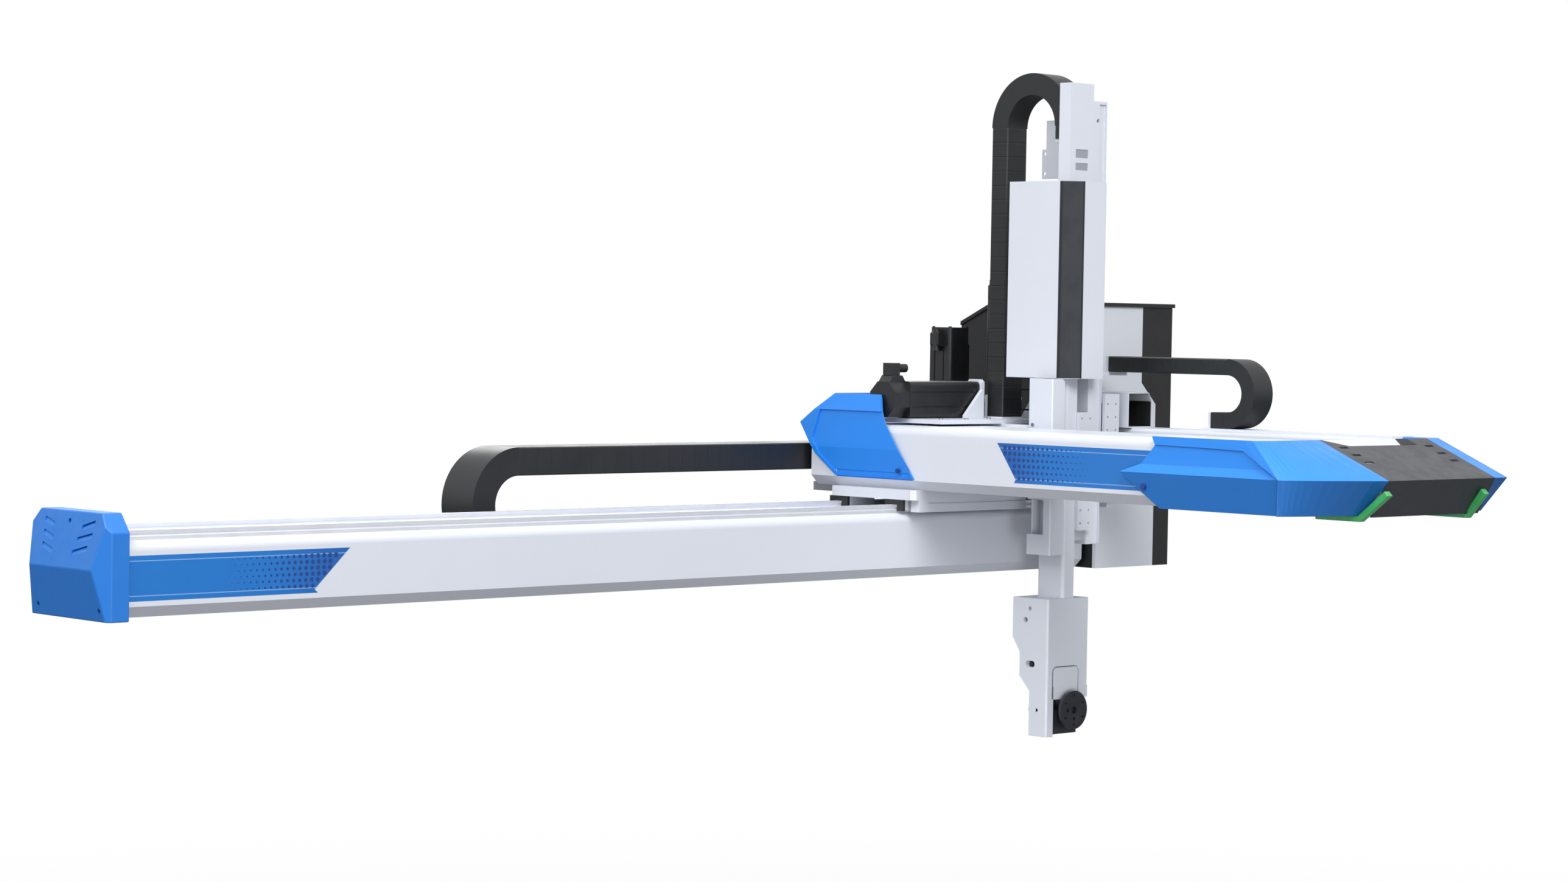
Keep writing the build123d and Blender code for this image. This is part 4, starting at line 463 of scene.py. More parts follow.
@dataclass(frozen=True)
class VinylFinish(Finish):
    """Blue vinyl with two thin pale lines along it, and a paler blue towards one end."""

    run: Run
    lines: tuple[float, float]
    fade: tuple[float, float]
    light: Colour = grey_of(30, 120, 200)
    deep: Colour = grey_of(24, 104, 184)
    line_width: float = 0.0015
    navy: Colour = grey_of(20, 62, 138)

    def paint(self, s: Shader) -> None:
        """Lays the vinyl: the blues, the two pale lines and small bubbles.

        Args:
            s: The shader of the finish.
        """
        level = s.axis("Z")
        low, high = self.lines
        near = (level - low).size().least((level - high).size())
        line = near.ramp(self.line_width * 0.5, self.line_width, 1.0, 0.0)
        blue = s.mix(s.noise(1.4, 3, 0.5), self.deep, self.light)
        blue = s.mix(s.axis(self.run.value).ramp(*self.fade) * 0.45, blue, self.navy)
        bubbles = s.noise(60, 2, 0.4).ramp(0.6, 0.8)
        s.set(Base_Color=s.mix(line * 0.55, blue, grey_of(160, 196, 236)))
        s.set(Roughness=bubbles * 0.12 + 0.3, Coat_Weight=0.15, Coat_Roughness=0.25)
        s.bump(s.noise(24, 3, 0.5) + bubbles * 0.2, 0.00012, 0.35)


@dataclass(frozen=True)
class LightBarFinish(Finish):
    """A translucent green bar with a soft glow."""

    colour: Colour
    glow: float = 0.35

    def paint(self, s: Shader) -> None:
        """Lays the bar: uneven green that glows a little, with a fine grain.

        Args:
            s: The shader of the finish.
        """
        lamps = s.noise(30, 2, 0.5)
        tone = s.mix(lamps, shade(self.colour, 0.9), shade(self.colour, 1.15))
        s.set(Base_Color=tone, Roughness=s.noise(200, 2, 0.5) * 0.2 + 0.2, Coat_Weight=0.4)
        s.set(Emission_Color=tone, Emission_Strength=self.glow)
        s.bump(s.noise(500, 2, 0.5), 0.00003, 0.5)


class Finishes:
    """The machine's finishes, each made once and shared."""

    def __init__(self) -> None:
        """Makes every finish."""
        moulded = {"roughness": 0.44, "cloud": 0.04, "grain": 700, "grain_depth": 0.00002, "dust": 0.25}
        recipes = {
            "profile": PaintFinish("profile_white", grey_of(212, 216, 225), roughness=0.4, cloud=0.03),
            "plate": PaintFinish("plate_white", grey_of(210, 214, 223), roughness=0.38, cloud=0.03,
                                 grain=1100),
            "sheet": PaintFinish("sheet_white", grey_of(213, 217, 226), roughness=0.46, cloud=0.03,
                                 grain=2200, grain_depth=0.00004),
            "door": PaintFinish("door_white", grey_of(214, 218, 226), roughness=0.5, cloud=0.02,
                                grain=2600, grain_depth=0.00005),
            "rail": MetalFinish("rail_ground", grey_of(222, 224, 230), lines=(0.004, 1, 1),
                                roughness=0.34, oil=0.08, metallic=0.45),
            "rail_y": MetalFinish("rail_ground_y", grey_of(218, 220, 226), lines=(1, 0.004, 1),
                                  roughness=0.34, oil=0.08, metallic=0.45),
            "rail_z": MetalFinish("rail_ground_z", grey_of(214, 216, 222), lines=(1, 1, 0.004),
                                  roughness=0.34, oil=0.08, metallic=0.45),
            "rack": MetalFinish("rack_milled", grey_of(150, 152, 158), lines=(1, 1, 0.05), roughness=0.36,
                                oil=0.55),
            "shaft": MetalFinish("shaft_turned", grey_of(176, 178, 184), lines=(1, 0.1, 0.1),
                                 roughness=0.28),
            "screw": MetalFinish("screw_zinc", grey_of(168, 171, 178), lines=(1, 1, 1), roughness=0.32,
                                 oil=0.2),
            # Dark grey for the zinc screws' sockets: painted shade.
            "recess": PaintFinish("screw_recess", grey_of(40, 42, 46), roughness=0.55, cloud=0.1),
            "black_screw": MetalFinish("screw_black", grey_of(62, 64, 70), lines=(1, 1, 1),
                                       roughness=0.38, oil=0.2),
            "blue": PaintFinish("cover_blue", grey_of(36, 130, 226), **moulded, coat=0.08),
            # The nose's blue is the cover blue with painted shade on its faces that look down.
            "blue_nose": PaintFinish("cover_blue_nose", grey_of(38, 134, 230), **moulded, coat=0.08,
                                     under=0.55),
            # A darker copy of the cover blue for the end cap: painted shade, as the cap's front takes less
            # light.
            "blue_cap": PaintFinish("cover_blue_cap", grey_of(31, 116, 204),
                                    **{**moulded, "roughness": 0.48}, coat=0.05),
            "dark_plate": PaintFinish("nose_plate_dark", grey_of(50, 53, 59), roughness=0.46, cloud=0.06,
                                      grain=1800, grain_depth=0.00004),
            "cabinet": PaintFinish("cabinet_black", grey_of(14, 15, 18), roughness=0.5, cloud=0.08,
                                   grain=2600, grain_depth=0.00006),
            "motor": PaintFinish("motor_black", grey_of(18, 19, 22), roughness=0.45, cloud=0.1,
                                 grain=1500, grain_depth=0.00005, coat=0.1),
            "black": MouldedFinish("moulded_black", grey_of(24, 26, 29), roughness=0.42),
            "wrist": PaintFinish("wrist_anodised", grey_of(46, 48, 55), roughness=0.34, cloud=0.08,
                                 grain=1900, grain_depth=0.00002, metallic=0.35),
            "belt": MouldedFinish("belt_rubber", grey_of(30, 30, 32), roughness=0.7, grain=600,
                                  depth=0.00008),
            "chain_x": ChainFinish("chain_links_x", Run.ALONG_X, pitch=0.046, colour=grey_of(22, 24, 27)),
            "chain_y": ChainFinish("chain_links_y", Run.ALONG_Y, pitch=0.03, colour=grey_of(21, 23, 26)),
            "chain_z": ChainFinish("chain_links_z", Run.ALONG_Z, pitch=0.04, colour=grey_of(20, 22, 25)),
            "chain_bend": MouldedFinish("chain_bend", grey_of(21, 23, 26), roughness=0.46),
            "vinyl_x": VinylFinish("vinyl_traverse", Run.ALONG_X, lines=(0.0500, 0.1290),
                                   fade=(-2.24, -2.02)),
            "vinyl_y": VinylFinish("vinyl_demould", Run.ALONG_Y, lines=(0.2860, 0.3660),
                                   fade=(-0.66, -0.5)),
            "navy": MouldedFinish("dot_navy", grey_of(22, 58, 128), roughness=0.4, grain=1200,
                                  depth=0.00001, coat=0.1),
            "green": LightBarFinish("light_green", grey_of(58, 158, 88), glow=0.12),
            "strip": PaintFinish("corner_strip", grey_of(18, 23, 31), roughness=0.6, cloud=0.06,
                                 grain=1700, grain_depth=0.00003),
            "filler": PaintFinish("window_grey", grey_of(150, 156, 166), roughness=0.42, cloud=0.05),
            # Near black painted shade: in the black screws' sockets, at the end of the nose plate's notch and
            # inside the open hose box.
            "inside": PaintFinish("room_dark", grey_of(16, 17, 19), roughness=0.7, cloud=0.1),
            "steel_plug": MetalFinish("plug_steel", grey_of(186, 188, 194), lines=(1, 1, 1),
                                      roughness=0.4, oil=0.1),
            "groove": PaintFinish("groove_shade", grey_of(84, 88, 96), roughness=0.6, cloud=0.05),
        }
        self._made = {name: recipe.build() for name, recipe in recipes.items()}

    def __getitem__(self, name: str) -> bpy.types.Material:
        """The finish of that name."""
        return self._made[name]


# Shapes


def put(name: str, data: Any) -> bpy.types.Object:
    """Makes an object and links it to the scene.

    Args:
        name: The object's name.
        data: Its mesh, lamp or camera.

    Returns:
        The object.
    """
    made = bpy.data.objects.new(name, data)
    bpy.context.scene.collection.objects.link(made)
    return made


def settle(made: bpy.types.Object, modifier: bpy.types.Modifier) -> None:
    """Turns what a modifier shows into the object's plain mesh, and removes the modifier.

    Args:
        made: The object.
        modifier: Its only modifier.
    """
    bpy.context.view_layer.update()
    ready = made.evaluated_get(bpy.context.evaluated_depsgraph_get())
    mesh = bpy.data.meshes.new_from_object(ready)
    made.modifiers.remove(modifier)
    made.data = mesh


def stand_for(made: bpy.types.Object, node: str) -> None:
    """Lets a piece take a CAD node's place by hiding the node."""
    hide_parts(node)


def on_plane(axis: str, level: float, corner: Flat) -> Point:
    """Finds a point of a plane across an axis.

    Args:
        axis: X, Y or Z.
        level: The plane's place along it.
        corner: The point's two other coordinates, in the order X, Y, Z.

    Returns:
        The point.
    """
    place = list(corner)
    place.insert("XYZ".index(axis), level)
    return tuple(place)


class Solid:
    """A closed mesh built up from simple forms in machine millimetres."""

    def __init__(self, name: str) -> None:
        """Starts with nothing.

        Args:
            name: The name of the object that it becomes.
        """
        self.name = name
        self.form = bmesh.new()

    def prism(self, axis: str, outline: list[Flat], start: float, end: float) -> "Solid":
        """Adds a prism.

        Args:
            axis: X, Y or Z, along which the outline is drawn out.
            outline: Its corners in the two other axes, in the order X, Y, Z.
            start: Where the prism starts along the axis.
            end: Where it ends.

        Returns:
            This solid.
        """
        rings = []
        for level in (start, end):
            places = [Vector(on_plane(axis, level, corner)) for corner in outline]
            rings.append([self.form.verts.new(place * MM) for place in places])
        faces = [self.form.faces.new(rings[0]), self.form.faces.new(rings[1])]
        count = len(outline)
        for i in range(count):
            j = (i + 1) % count
            faces.append(self.form.faces.new((rings[0][i], rings[0][j], rings[1][j], rings[1][i])))
        bmesh.ops.recalc_face_normals(self.form, faces=faces)
        return self

    def box(self, x: Flat, y: Flat, z: Flat) -> "Solid":
        """Adds a box between these limits."""
        return self.prism("Z", [(x[0], y[0]), (x[1], y[0]), (x[1], y[1]), (x[0], y[1])], z[0], z[1])

    def disc(self, axis: str, centre: Flat, radius: float, start: float, end: float,
             sides: int = 32) -> "Solid":
        """Adds a round bar.

        Args:
            axis: The bar's axis.
            centre: The middle in the two other axes, in the order X, Y, Z.
            radius: The bar's radius.
            start: Where it starts along the axis.
            end: Where it ends.
            sides: The number of flats that make the circle.

        Returns:
            This solid.
        """
        step = 2 * math.pi / sides
        turns = [(math.cos(i * step), math.sin(i * step)) for i in range(sides)]
        outline = [(centre[0] + radius * along, centre[1] + radius * up) for along, up in turns]
        return self.prism(axis, outline, start, end)

    def cut(self, point: Point, normal: Point) -> "Solid":
        """Cuts off all that lies beyond a plane, and closes the cut.

        Args:
            point: Any point of the plane.
            normal: The way out of what stays.

        Returns:
            This solid.
        """
        parts = [*self.form.verts, *self.form.edges, *self.form.faces]
        plane = {"plane_co": Vector(point) * MM, "plane_no": Vector(normal)}
        done = bmesh.ops.bisect_plane(self.form, geom=parts, clear_outer=True, **plane)
        edges = [part for part in done["geom_cut"] if isinstance(part, bmesh.types.BMEdge)]
        bmesh.ops.contextual_create(self.form, geom=edges)
        bmesh.ops.recalc_face_normals(self.form, faces=self.form.faces)
        return self

    def wall(self, grid: list[list[Point]], shift: Point) -> "Solid":
        """Adds a curved wall: a grid of points, and the same grid moved through the wall's thickness.

        Args:
            grid: Rows of points over the outer face.
            shift: The way from the outer face to the inner one.

        Returns:
            This solid.
        """
        rows, columns = len(grid), len(grid[0])
        faces = []
        sheets = []
        for move in (Vector((0, 0, 0)), Vector(shift)):
            sheet = []
            for row in grid:
                sheet.append([self.form.verts.new((Vector(place) + move) * MM) for place in row])
            sheets.append(sheet)
            for i in range(rows - 1):
                for j in range(columns - 1):
                    corners = (sheet[i][j], sheet[i][j + 1], sheet[i + 1][j + 1], sheet[i + 1][j])
                    faces.append(self.form.faces.new(corners))
        rim = [(i, 0) for i in range(rows)] + [(rows - 1, j) for j in range(1, columns)]
        rim += [(i, columns - 1) for i in range(rows - 2, -1, -1)]
        rim += [(0, j) for j in range(columns - 2, 0, -1)]
        outer, inner = sheets
        for (a, b), (c, d) in zip(rim, rim[1:] + rim[:1]):
            faces.append(self.form.faces.new((outer[a][b], outer[c][d], inner[c][d], inner[a][b])))
        bmesh.ops.recalc_face_normals(self.form, faces=faces)
        return self

    def to_object(self, bevel: float = 0.0, sharp: float = 0.12, segments: int = 3) -> bpy.types.Object:
        """Turns the forms into an object.

        Args:
            bevel: The width of a small bevel on its edges in millimetres, or 0.
            sharp: The least turn of an edge that gets the bevel, in radians.
            segments: The number of flats across the bevel.

        Returns:
            The object, without a finish.
        """
        if bevel:
            edges = [edge for edge in self.form.edges if edge.calc_face_angle(0) > sharp]
            size = {"offset": bevel * MM, "segments": segments, "profile": 0.5}
            bmesh.ops.bevel(self.form, geom=edges, affect="EDGES", **size)
        mesh = bpy.data.meshes.new(self.name)
        self.form.to_mesh(mesh)
        self.form.free()
        return put(self.name, mesh)

    def make(self, material: bpy.types.Material, body: str, bevel: float = 0.0) -> bpy.types.Object:
        """Turns the forms into an object that rides on a body.

        Args:
            material: Its finish.
            body: The body that it moves with.
            bevel: The width of a small bevel on its sharper edges in millimetres, or 0.

        Returns:
            The finished object.
        """
        made = self.to_object(bevel, sharp=0.5, segments=2)
        made.data.materials.append(material)
        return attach(made, body)


def carve(body: bpy.types.Object, cutter: bpy.types.Object) -> None:
    """Cuts one object's room out of another.

    Args:
        body: The object that is cut.
        cutter: The object that takes the room, which is deleted.
    """
    modifier = body.modifiers.new("carve", "BOOLEAN")
    modifier.operation = "DIFFERENCE"
    modifier.solver = "EXACT"
    modifier.object = cutter
    settle(body, modifier)
    bpy.data.objects.remove(cutter)


class Growth:
    """A Geometry Nodes tree under construction, with named inputs."""

    def __init__(self, name: str) -> None:
        """Starts a tree with its geometry input and output.

        Args:
            name: The tree's name.
        """
        self.tree = bpy.data.node_groups.new(name, "GeometryNodeTree")
        self.tree.interface.new_socket("Geometry", in_out="INPUT", socket_type="NodeSocketGeometry")
        self.tree.interface.new_socket("Geometry", in_out="OUTPUT", socket_type="NodeSocketGeometry")
        self.inputs: dict[str, str] = {}
        self.start = self.tree.nodes.new("NodeGroupInput")
        self.end = self.tree.nodes.new("NodeGroupOutput")

    def size(self, name: str, value: float, kind: str = "NodeSocketFloat") -> bpy.types.NodeSocket:
        """Adds a named input.

        Args:
            name: Its name.
            value: Its first value.
            kind: Its socket type.

        Returns:
            The socket that carries it inside the tree.
        """
        item = self.tree.interface.new_socket(name, in_out="INPUT", socket_type=kind)
        item.default_value = value
        self.inputs[name] = item.identifier
        return self.start.outputs[name]

    def node(self, kind: str, settings: dict[str, Any], values: dict[Any, Any],
             out: Any = 0) -> bpy.types.NodeSocket:
        """Adds any node, as add_node does, and gives the chosen output."""
        return add_node(self.tree, kind, settings, values, out)

    def finish(self, geometry: bpy.types.NodeSocket, material: Optional[bpy.types.Material] = None) -> None:
        """Ends the tree in Realize Instances, and Set Material where one finish serves.

        Args:
            geometry: What the tree gives out.
            material: The finish, or None where the parts carry their own.
        """
        real = self.node("GeometryNodeRealizeInstances", {}, {"Geometry": geometry})
        if material:
            real = self.node("GeometryNodeSetMaterial", {}, {"Geometry": real, "Material": material})
        self.tree.links.new(real, self.end.inputs[0])

    def grow(self, seedling: bpy.types.Object, body: str, **sizes: float) -> bpy.types.Object:
        """Runs the tree on an object and puts the plain mesh on a body.

        Args:
            seedling: The object that the tree starts from.
            body: The body that the result moves with.
            sizes: The tree's inputs, by name.

        Returns:
            The finished object.
        """
        modifier = seedling.modifiers.new("growth", "NODES")
        modifier.node_group = self.tree
        for name, value in sizes.items():
            modifier[self.inputs[name]] = value
        settle(seedling, modifier)
        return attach(seedling, body)


class Side(Enum):
    """A way out of the machine."""

    LEFT = (-1.0, 0.0, 0.0)
    RIGHT = (1.0, 0.0, 0.0)
    FRONT = (0.0, -1.0, 0.0)
    REAR = (0.0, 1.0, 0.0)
    TOP = (0.0, 0.0, 1.0)


def points_object(name: str, places: list[Point], side: Side, rise: float) -> bpy.types.Object:
    """Makes loose points that carry the way they all face.

    Args:
        name: The object's name.
        places: The points on the surface, in machine millimetres.
        side: The way out of the surface.
        rise: How far the points stand out of it.

    Returns:
        The object of points.
    """
    raised = [(Vector(place) + Vector(side.value) * rise) * MM for place in places]
    mesh = bpy.data.meshes.new(name)
    mesh.from_pydata(raised, [], [])
    attribute = mesh.attributes.new("facing", "FLOAT_VECTOR", "POINT")
    for item in attribute.data:
        item.vector = side.value
    return put(name, mesh)


class PointTree:
    """A small round part on every point of an object, turned to face the way that the point carries."""

    proud: float = 0.5
    scaled: bool = False

    def __init__(self, name: str) -> None:
        """Starts the tree with the part's sizes and its turn.

        Args:
            name: The tree's name.
        """
        self.growth = Growth(name)
        self.radius = self.growth.size("Radius", 0.005)
        self.height = self.growth.size("Height", 0.004)
        way = self.node("GeometryNodeInputNamedAttribute", {"data_type": "FLOAT_VECTOR"}, {"Name": "facing"})
        self.aim = self.node("FunctionNodeAlignRotationToVector", {"axis": "Z"}, {"Vector": way})

    def node(self, kind: str, settings: dict[str, Any], values: dict[Any, Any],
             out: Any = 0) -> bpy.types.NodeSocket:
        """Adds a node to the part's tree, as add_node does, and gives the chosen output."""
        return self.growth.node(kind, settings, values, out)

    def bar(self, sides: int, radius: bpy.types.NodeSocket) -> bpy.types.NodeSocket:
        """Adds a bar with that many flats, as high as the part."""
        sizes = {"Vertices": sides, "Radius": radius, "Depth": self.height}
        return self.node("GeometryNodeMeshCylinder", {"fill_type": "NGON"}, sizes, "Mesh")

    def sow(self, part: bpy.types.NodeSocket, turn: dict[str, bpy.types.NodeSocket],
            material: Optional[bpy.types.Material] = None) -> None:
        """Sets the part on the points and ends the tree.

        Args:
            part: The part's geometry.
            turn: Its rotation, and its scale where that varies.
            material: Its finish, or None where it carries its own.
        """
        values = {"Points": self.growth.start.outputs[0], "Instance": part, **turn}
        self.growth.finish(self.node("GeometryNodeInstanceOnPoints", {}, values), material)

    def place(self, name: str, body: str, radius: float, height: float, side: Side, places: list[Point],
              shares: Optional[list[float]] = None) -> bpy.types.Object:
        """Sets parts at points.

        Args:
            name: The set's name.
            body: The body that the parts move with.
            radius: A full part's radius in millimetres.
            height: A part's height in millimetres.
            side: The way out of the surface.
            places: A place on the surface for each part.
            shares: Each part's share of full size, or None where all have it.

        Returns:
            The parts as one object.
        """
        seedling = points_object(name, places, side, height * self.proud)
        if self.scaled:
            attribute = seedling.data.attributes.new("share", "FLOAT", "POINT")
            for item, share in zip(attribute.data, shares or [1.0] * len(places)):
                item.value = share
        return self.growth.grow(seedling, body, Radius=radius * MM, Height=height * MM)


class ScrewTree(PointTree):
    """Socket-head screws, turned at random about their own axes, with each socket's shade painted as a dark
    hexagon.
    """

    proud = 0.4
    sides: int = 16
    socket_share: float = 0.52
    socket_rise: float = 0.03

    def __init__(self, name: str, head: bpy.types.Material, recess: bpy.types.Material) -> None:
        """Builds the tree.

        Args:
            name: The tree's name.
            head: The finish of the heads.
            recess: The finish of the dark hexagons, which are painted shade in place of the sockets.
        """
        super().__init__(name)
        seed = self.growth.size("Seed", 7, "NodeSocketInt")
        body = self.bar(self.sides, self.radius)
        body = self.node("GeometryNodeSetMaterial", {}, {"Geometry": body, "Material": head})
        times = {"operation": "MULTIPLY"}
        half = self.node("ShaderNodeMath", times, {0: self.radius, 1: self.socket_share})
        rise = self.node("ShaderNodeMath", times, {0: self.height, 1: self.socket_rise})
        lift = self.node("ShaderNodeCombineXYZ", {}, {"Z": rise})
        # Each socket is a flat dark hexagon just proud of the head: painted shade, not a hole.
        hexagon = self.node("GeometryNodeTransform", {}, {"Geometry": self.bar(6, half), "Translation": lift})
        hexagon = self.node("GeometryNodeSetMaterial", {}, {"Geometry": hexagon, "Material": recess})
        screw = self.node("GeometryNodeJoinGeometry", {}, {0: [body, hexagon]})
        values = {2: 0.0, 3: SIXTH_TURN, 8: seed}
        turn = self.node("FunctionNodeRandomValue", {"data_type": "FLOAT"}, values, 1)
        spin = self.node("ShaderNodeCombineXYZ", {}, {"Z": turn})
        spin = self.node("FunctionNodeEulerToRotation", {}, {0: spin})
        aim = self.node("FunctionNodeRotateRotation", {"rotation_space": "LOCAL"}, {0: self.aim, 1: spin})
        self.sow(screw, {"Rotation": aim})


class PegTree(PointTree):
    """Low pegs, such as dots and plugs, scaled one by one."""

    scaled = True

    def __init__(self, name: str, material: bpy.types.Material, sides: int) -> None:
        """Builds the tree.

        Args:
            name: The tree's name.
            material: The finish of the pegs.
            sides: The number of flats round a peg.
        """
        super().__init__(name)
        share = self.node("GeometryNodeInputNamedAttribute", {"data_type": "FLOAT"}, {"Name": "share"})
        scale = self.node("ShaderNodeCombineXYZ", {}, {"X": share, "Y": share, "Z": 1.0})
        self.sow(self.bar(sides, self.radius), {"Rotation": self.aim, "Scale": scale}, material)


class Head(Enum):
    """A screw's head: its radius and its height in millimetres."""

    BROAD = (6.5, 5.0)
    LARGE = (5.5, 4.5)
    MIDDLE = (5.0, 4.0)
    FLAT = (4.5, 2.5)
    SMALL = (4.0, 3.0)
    LEAST = (3.5, 2.5)


# The machine's sub-assemblies


@dataclass
class Kit:
    """What the sub-assemblies share: the finishes and the trees for screws and pegs."""

    finishes: Finishes
    plug_height: float = 0.3
    screws: ScrewTree = field(init=False)
    dark_screws: ScrewTree = field(init=False)
    plugs: PegTree = field(init=False)
    dots: PegTree = field(init=False)

    def __post_init__(self) -> None:
        """Builds the trees from the finishes."""
        f = self.finishes
        self.screws = ScrewTree("zinc_screws", f["screw"], f["recess"])
        self.dark_screws = ScrewTree("black_screws", f["black_screw"], f["inside"])
        self.plugs = PegTree("plugs", f["steel_plug"], 14)
        self.dots = PegTree("dots", f["navy"], 6)


def steps(start: float, end: float, pitch: float) -> list[float]:
    """Even places from start to end, as near to the pitch as fits."""
    count = max(1, round(abs(end - start) / pitch))
    return [start + (end - start) * i / count for i in range(count + 1)]


def node_box(node: str) -> tuple[Vector, Vector]:
    """The lowest and the highest corner of a CAD node, in millimetres."""
    low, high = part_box(node)
    return low / MM, high / MM


@dataclass
class Unit:
    """A sub-assembly: the finishes of its CAD nodes, and what the scene adds to them."""

    kit: Kit
    looks: ClassVar[dict[str, str]] = {}

    def dress(self) -> None:
        """Gives the unit's CAD nodes their finishes."""
        for node, name in self.looks.items():
            for item in frame["nodes"][node].material_slots:
                item.material = self.kit.finishes[name]

    def build(self) -> None:
        """Adds what the CAD leaves to the scene."""
        raise NotImplementedError


@dataclass
class ChainRun:
    """A straight run of an energy chain between its end and its bend."""

    kit: Kit
    node: str
    run: Run
    fixed_at_high: bool
    bodies: tuple[str, str]
    finish: str
    slices: int
    corner: float = 3.0

    def build(self) -> bpy.types.Object:
        """Makes the run as a sliced band in the place of its CAD node.

        Returns:
            The finished band.
        """
        low, high = node_box(self.node)
        axis = "XYZ".index(self.run.value)
        across = [i for i in range(3) if i != axis]
        a0, a1 = low[across[0]], high[across[0]]
        b0, b1 = low[across[1]], high[across[1]]
        c = self.corner
        outline = [(a0 + c, b0), (a1 - c, b0), (a1, b0 + c), (a1, b1 - c),
                   (a1 - c, b1), (a0 + c, b1), (a0, b1 - c), (a0, b0 + c)]
        solid = Solid(self.node + "_band")
        form = solid.form
        rings = []
        for level in steps(low[axis], high[axis], (high[axis] - low[axis]) / self.slices):
            places = [Vector(on_plane(self.run.value, level, corner)) for corner in outline]
            rings.append([form.verts.new(place * MM) for place in places])
        for one, other in zip(rings, rings[1:]):
            for i in range(len(outline)):
                j = (i + 1) % len(outline)
                form.faces.new((one[i], one[j], other[j], other[i]))
        form.faces.new(rings[0])
        form.faces.new(rings[-1])
        bmesh.ops.recalc_face_normals(form, faces=form.faces)
        band = solid.to_object()
        band.data.materials.append(self.kit.finishes[self.finish])
        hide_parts(self.node)
        ends = [[(low[i] + high[i]) / 2 * MM for i in range(3)] for _ in range(2)]
        ends[0][axis] = (high if self.fixed_at_high else low)[axis] * MM
        ends[1][axis] = (low if self.fixed_at_high else high)[axis] * MM
        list(self.bodies)
        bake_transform(band)
        return band


@dataclass
class Sticker:
    """A thin blue vinyl shape on a flat face, with hexagons that fade in towards its slanted end."""

    kit: Kit
    name: str
    body: str
    axis: str
    face: float
    outline: Outline
    finish: str
    fade: tuple[float, float]
    levels: Flat
    thickness: float = 0.25
    sunk: float = 0.02
    pitch: float = 17.0
    row_share: float = 0.87
    dot: float = 8.0
    dot_height: float = 0.12
    least_share: float = 0.12
    share_span: float = 0.8
    share_curve: float = 0.9
    edge_share: float = 0.8

    def inside(self, along: float, level: float, margin: float) -> bool:
        """Tells whether a dot's middle is far enough inside the outline.

        Args:
            along: The middle's place along the beam.
            level: Its height.
            margin: The least distance to the edge.

        Returns:
            True where the dot fits.
        """
        count = len(self.outline)
        hit = False
        nearest = math.inf
        for i in range(count):
            (x0, z0), (x1, z1) = self.outline[i], self.outline[(i + 1) % count]
            if (z0 > level) != (z1 > level) and along < (x1 - x0) * (level - z0) / (z1 - z0) + x0:
                hit = not hit
            length = math.hypot(x1 - x0, z1 - z0)
            share = max(0.0, min(1.0, ((along - x0) * (x1 - x0) + (level - z0) * (z1 - z0)) / length ** 2))
            nearest = min(nearest, math.hypot(along - x0 - share * (x1 - x0), level - z0 - share * (z1 - z0)))
        return hit and nearest > margin

    def build(self) -> None:
        """Makes the vinyl and its hexagons."""
        way = Side.FRONT if self.axis == "Y" else Side.LEFT
        outer = self.face - self.thickness
        sheet = Solid(self.name).prism(self.axis, list(self.outline), self.face - self.sunk, outer)
        sheet.make(self.kit.finishes[self.finish], self.body)
        places, shares = [], []
        start, end = self.fade
        for i, level in enumerate(steps(*self.levels, self.pitch * self.row_share)):
            for along in steps(start + (i % 2) * self.pitch / 2, end, self.pitch):
                share = (along - start) / (end - start)
                size = self.least_share + self.share_span * share ** self.share_curve
                if self.inside(along, level, self.dot * size * self.edge_share):
                    places.append(on_plane(self.axis, outer, (along, level)))
                    shares.append(size)
        name = self.name + "_dots"
        self.kit.dots.place(name, self.body, self.dot, self.dot_height, way, places, shares)


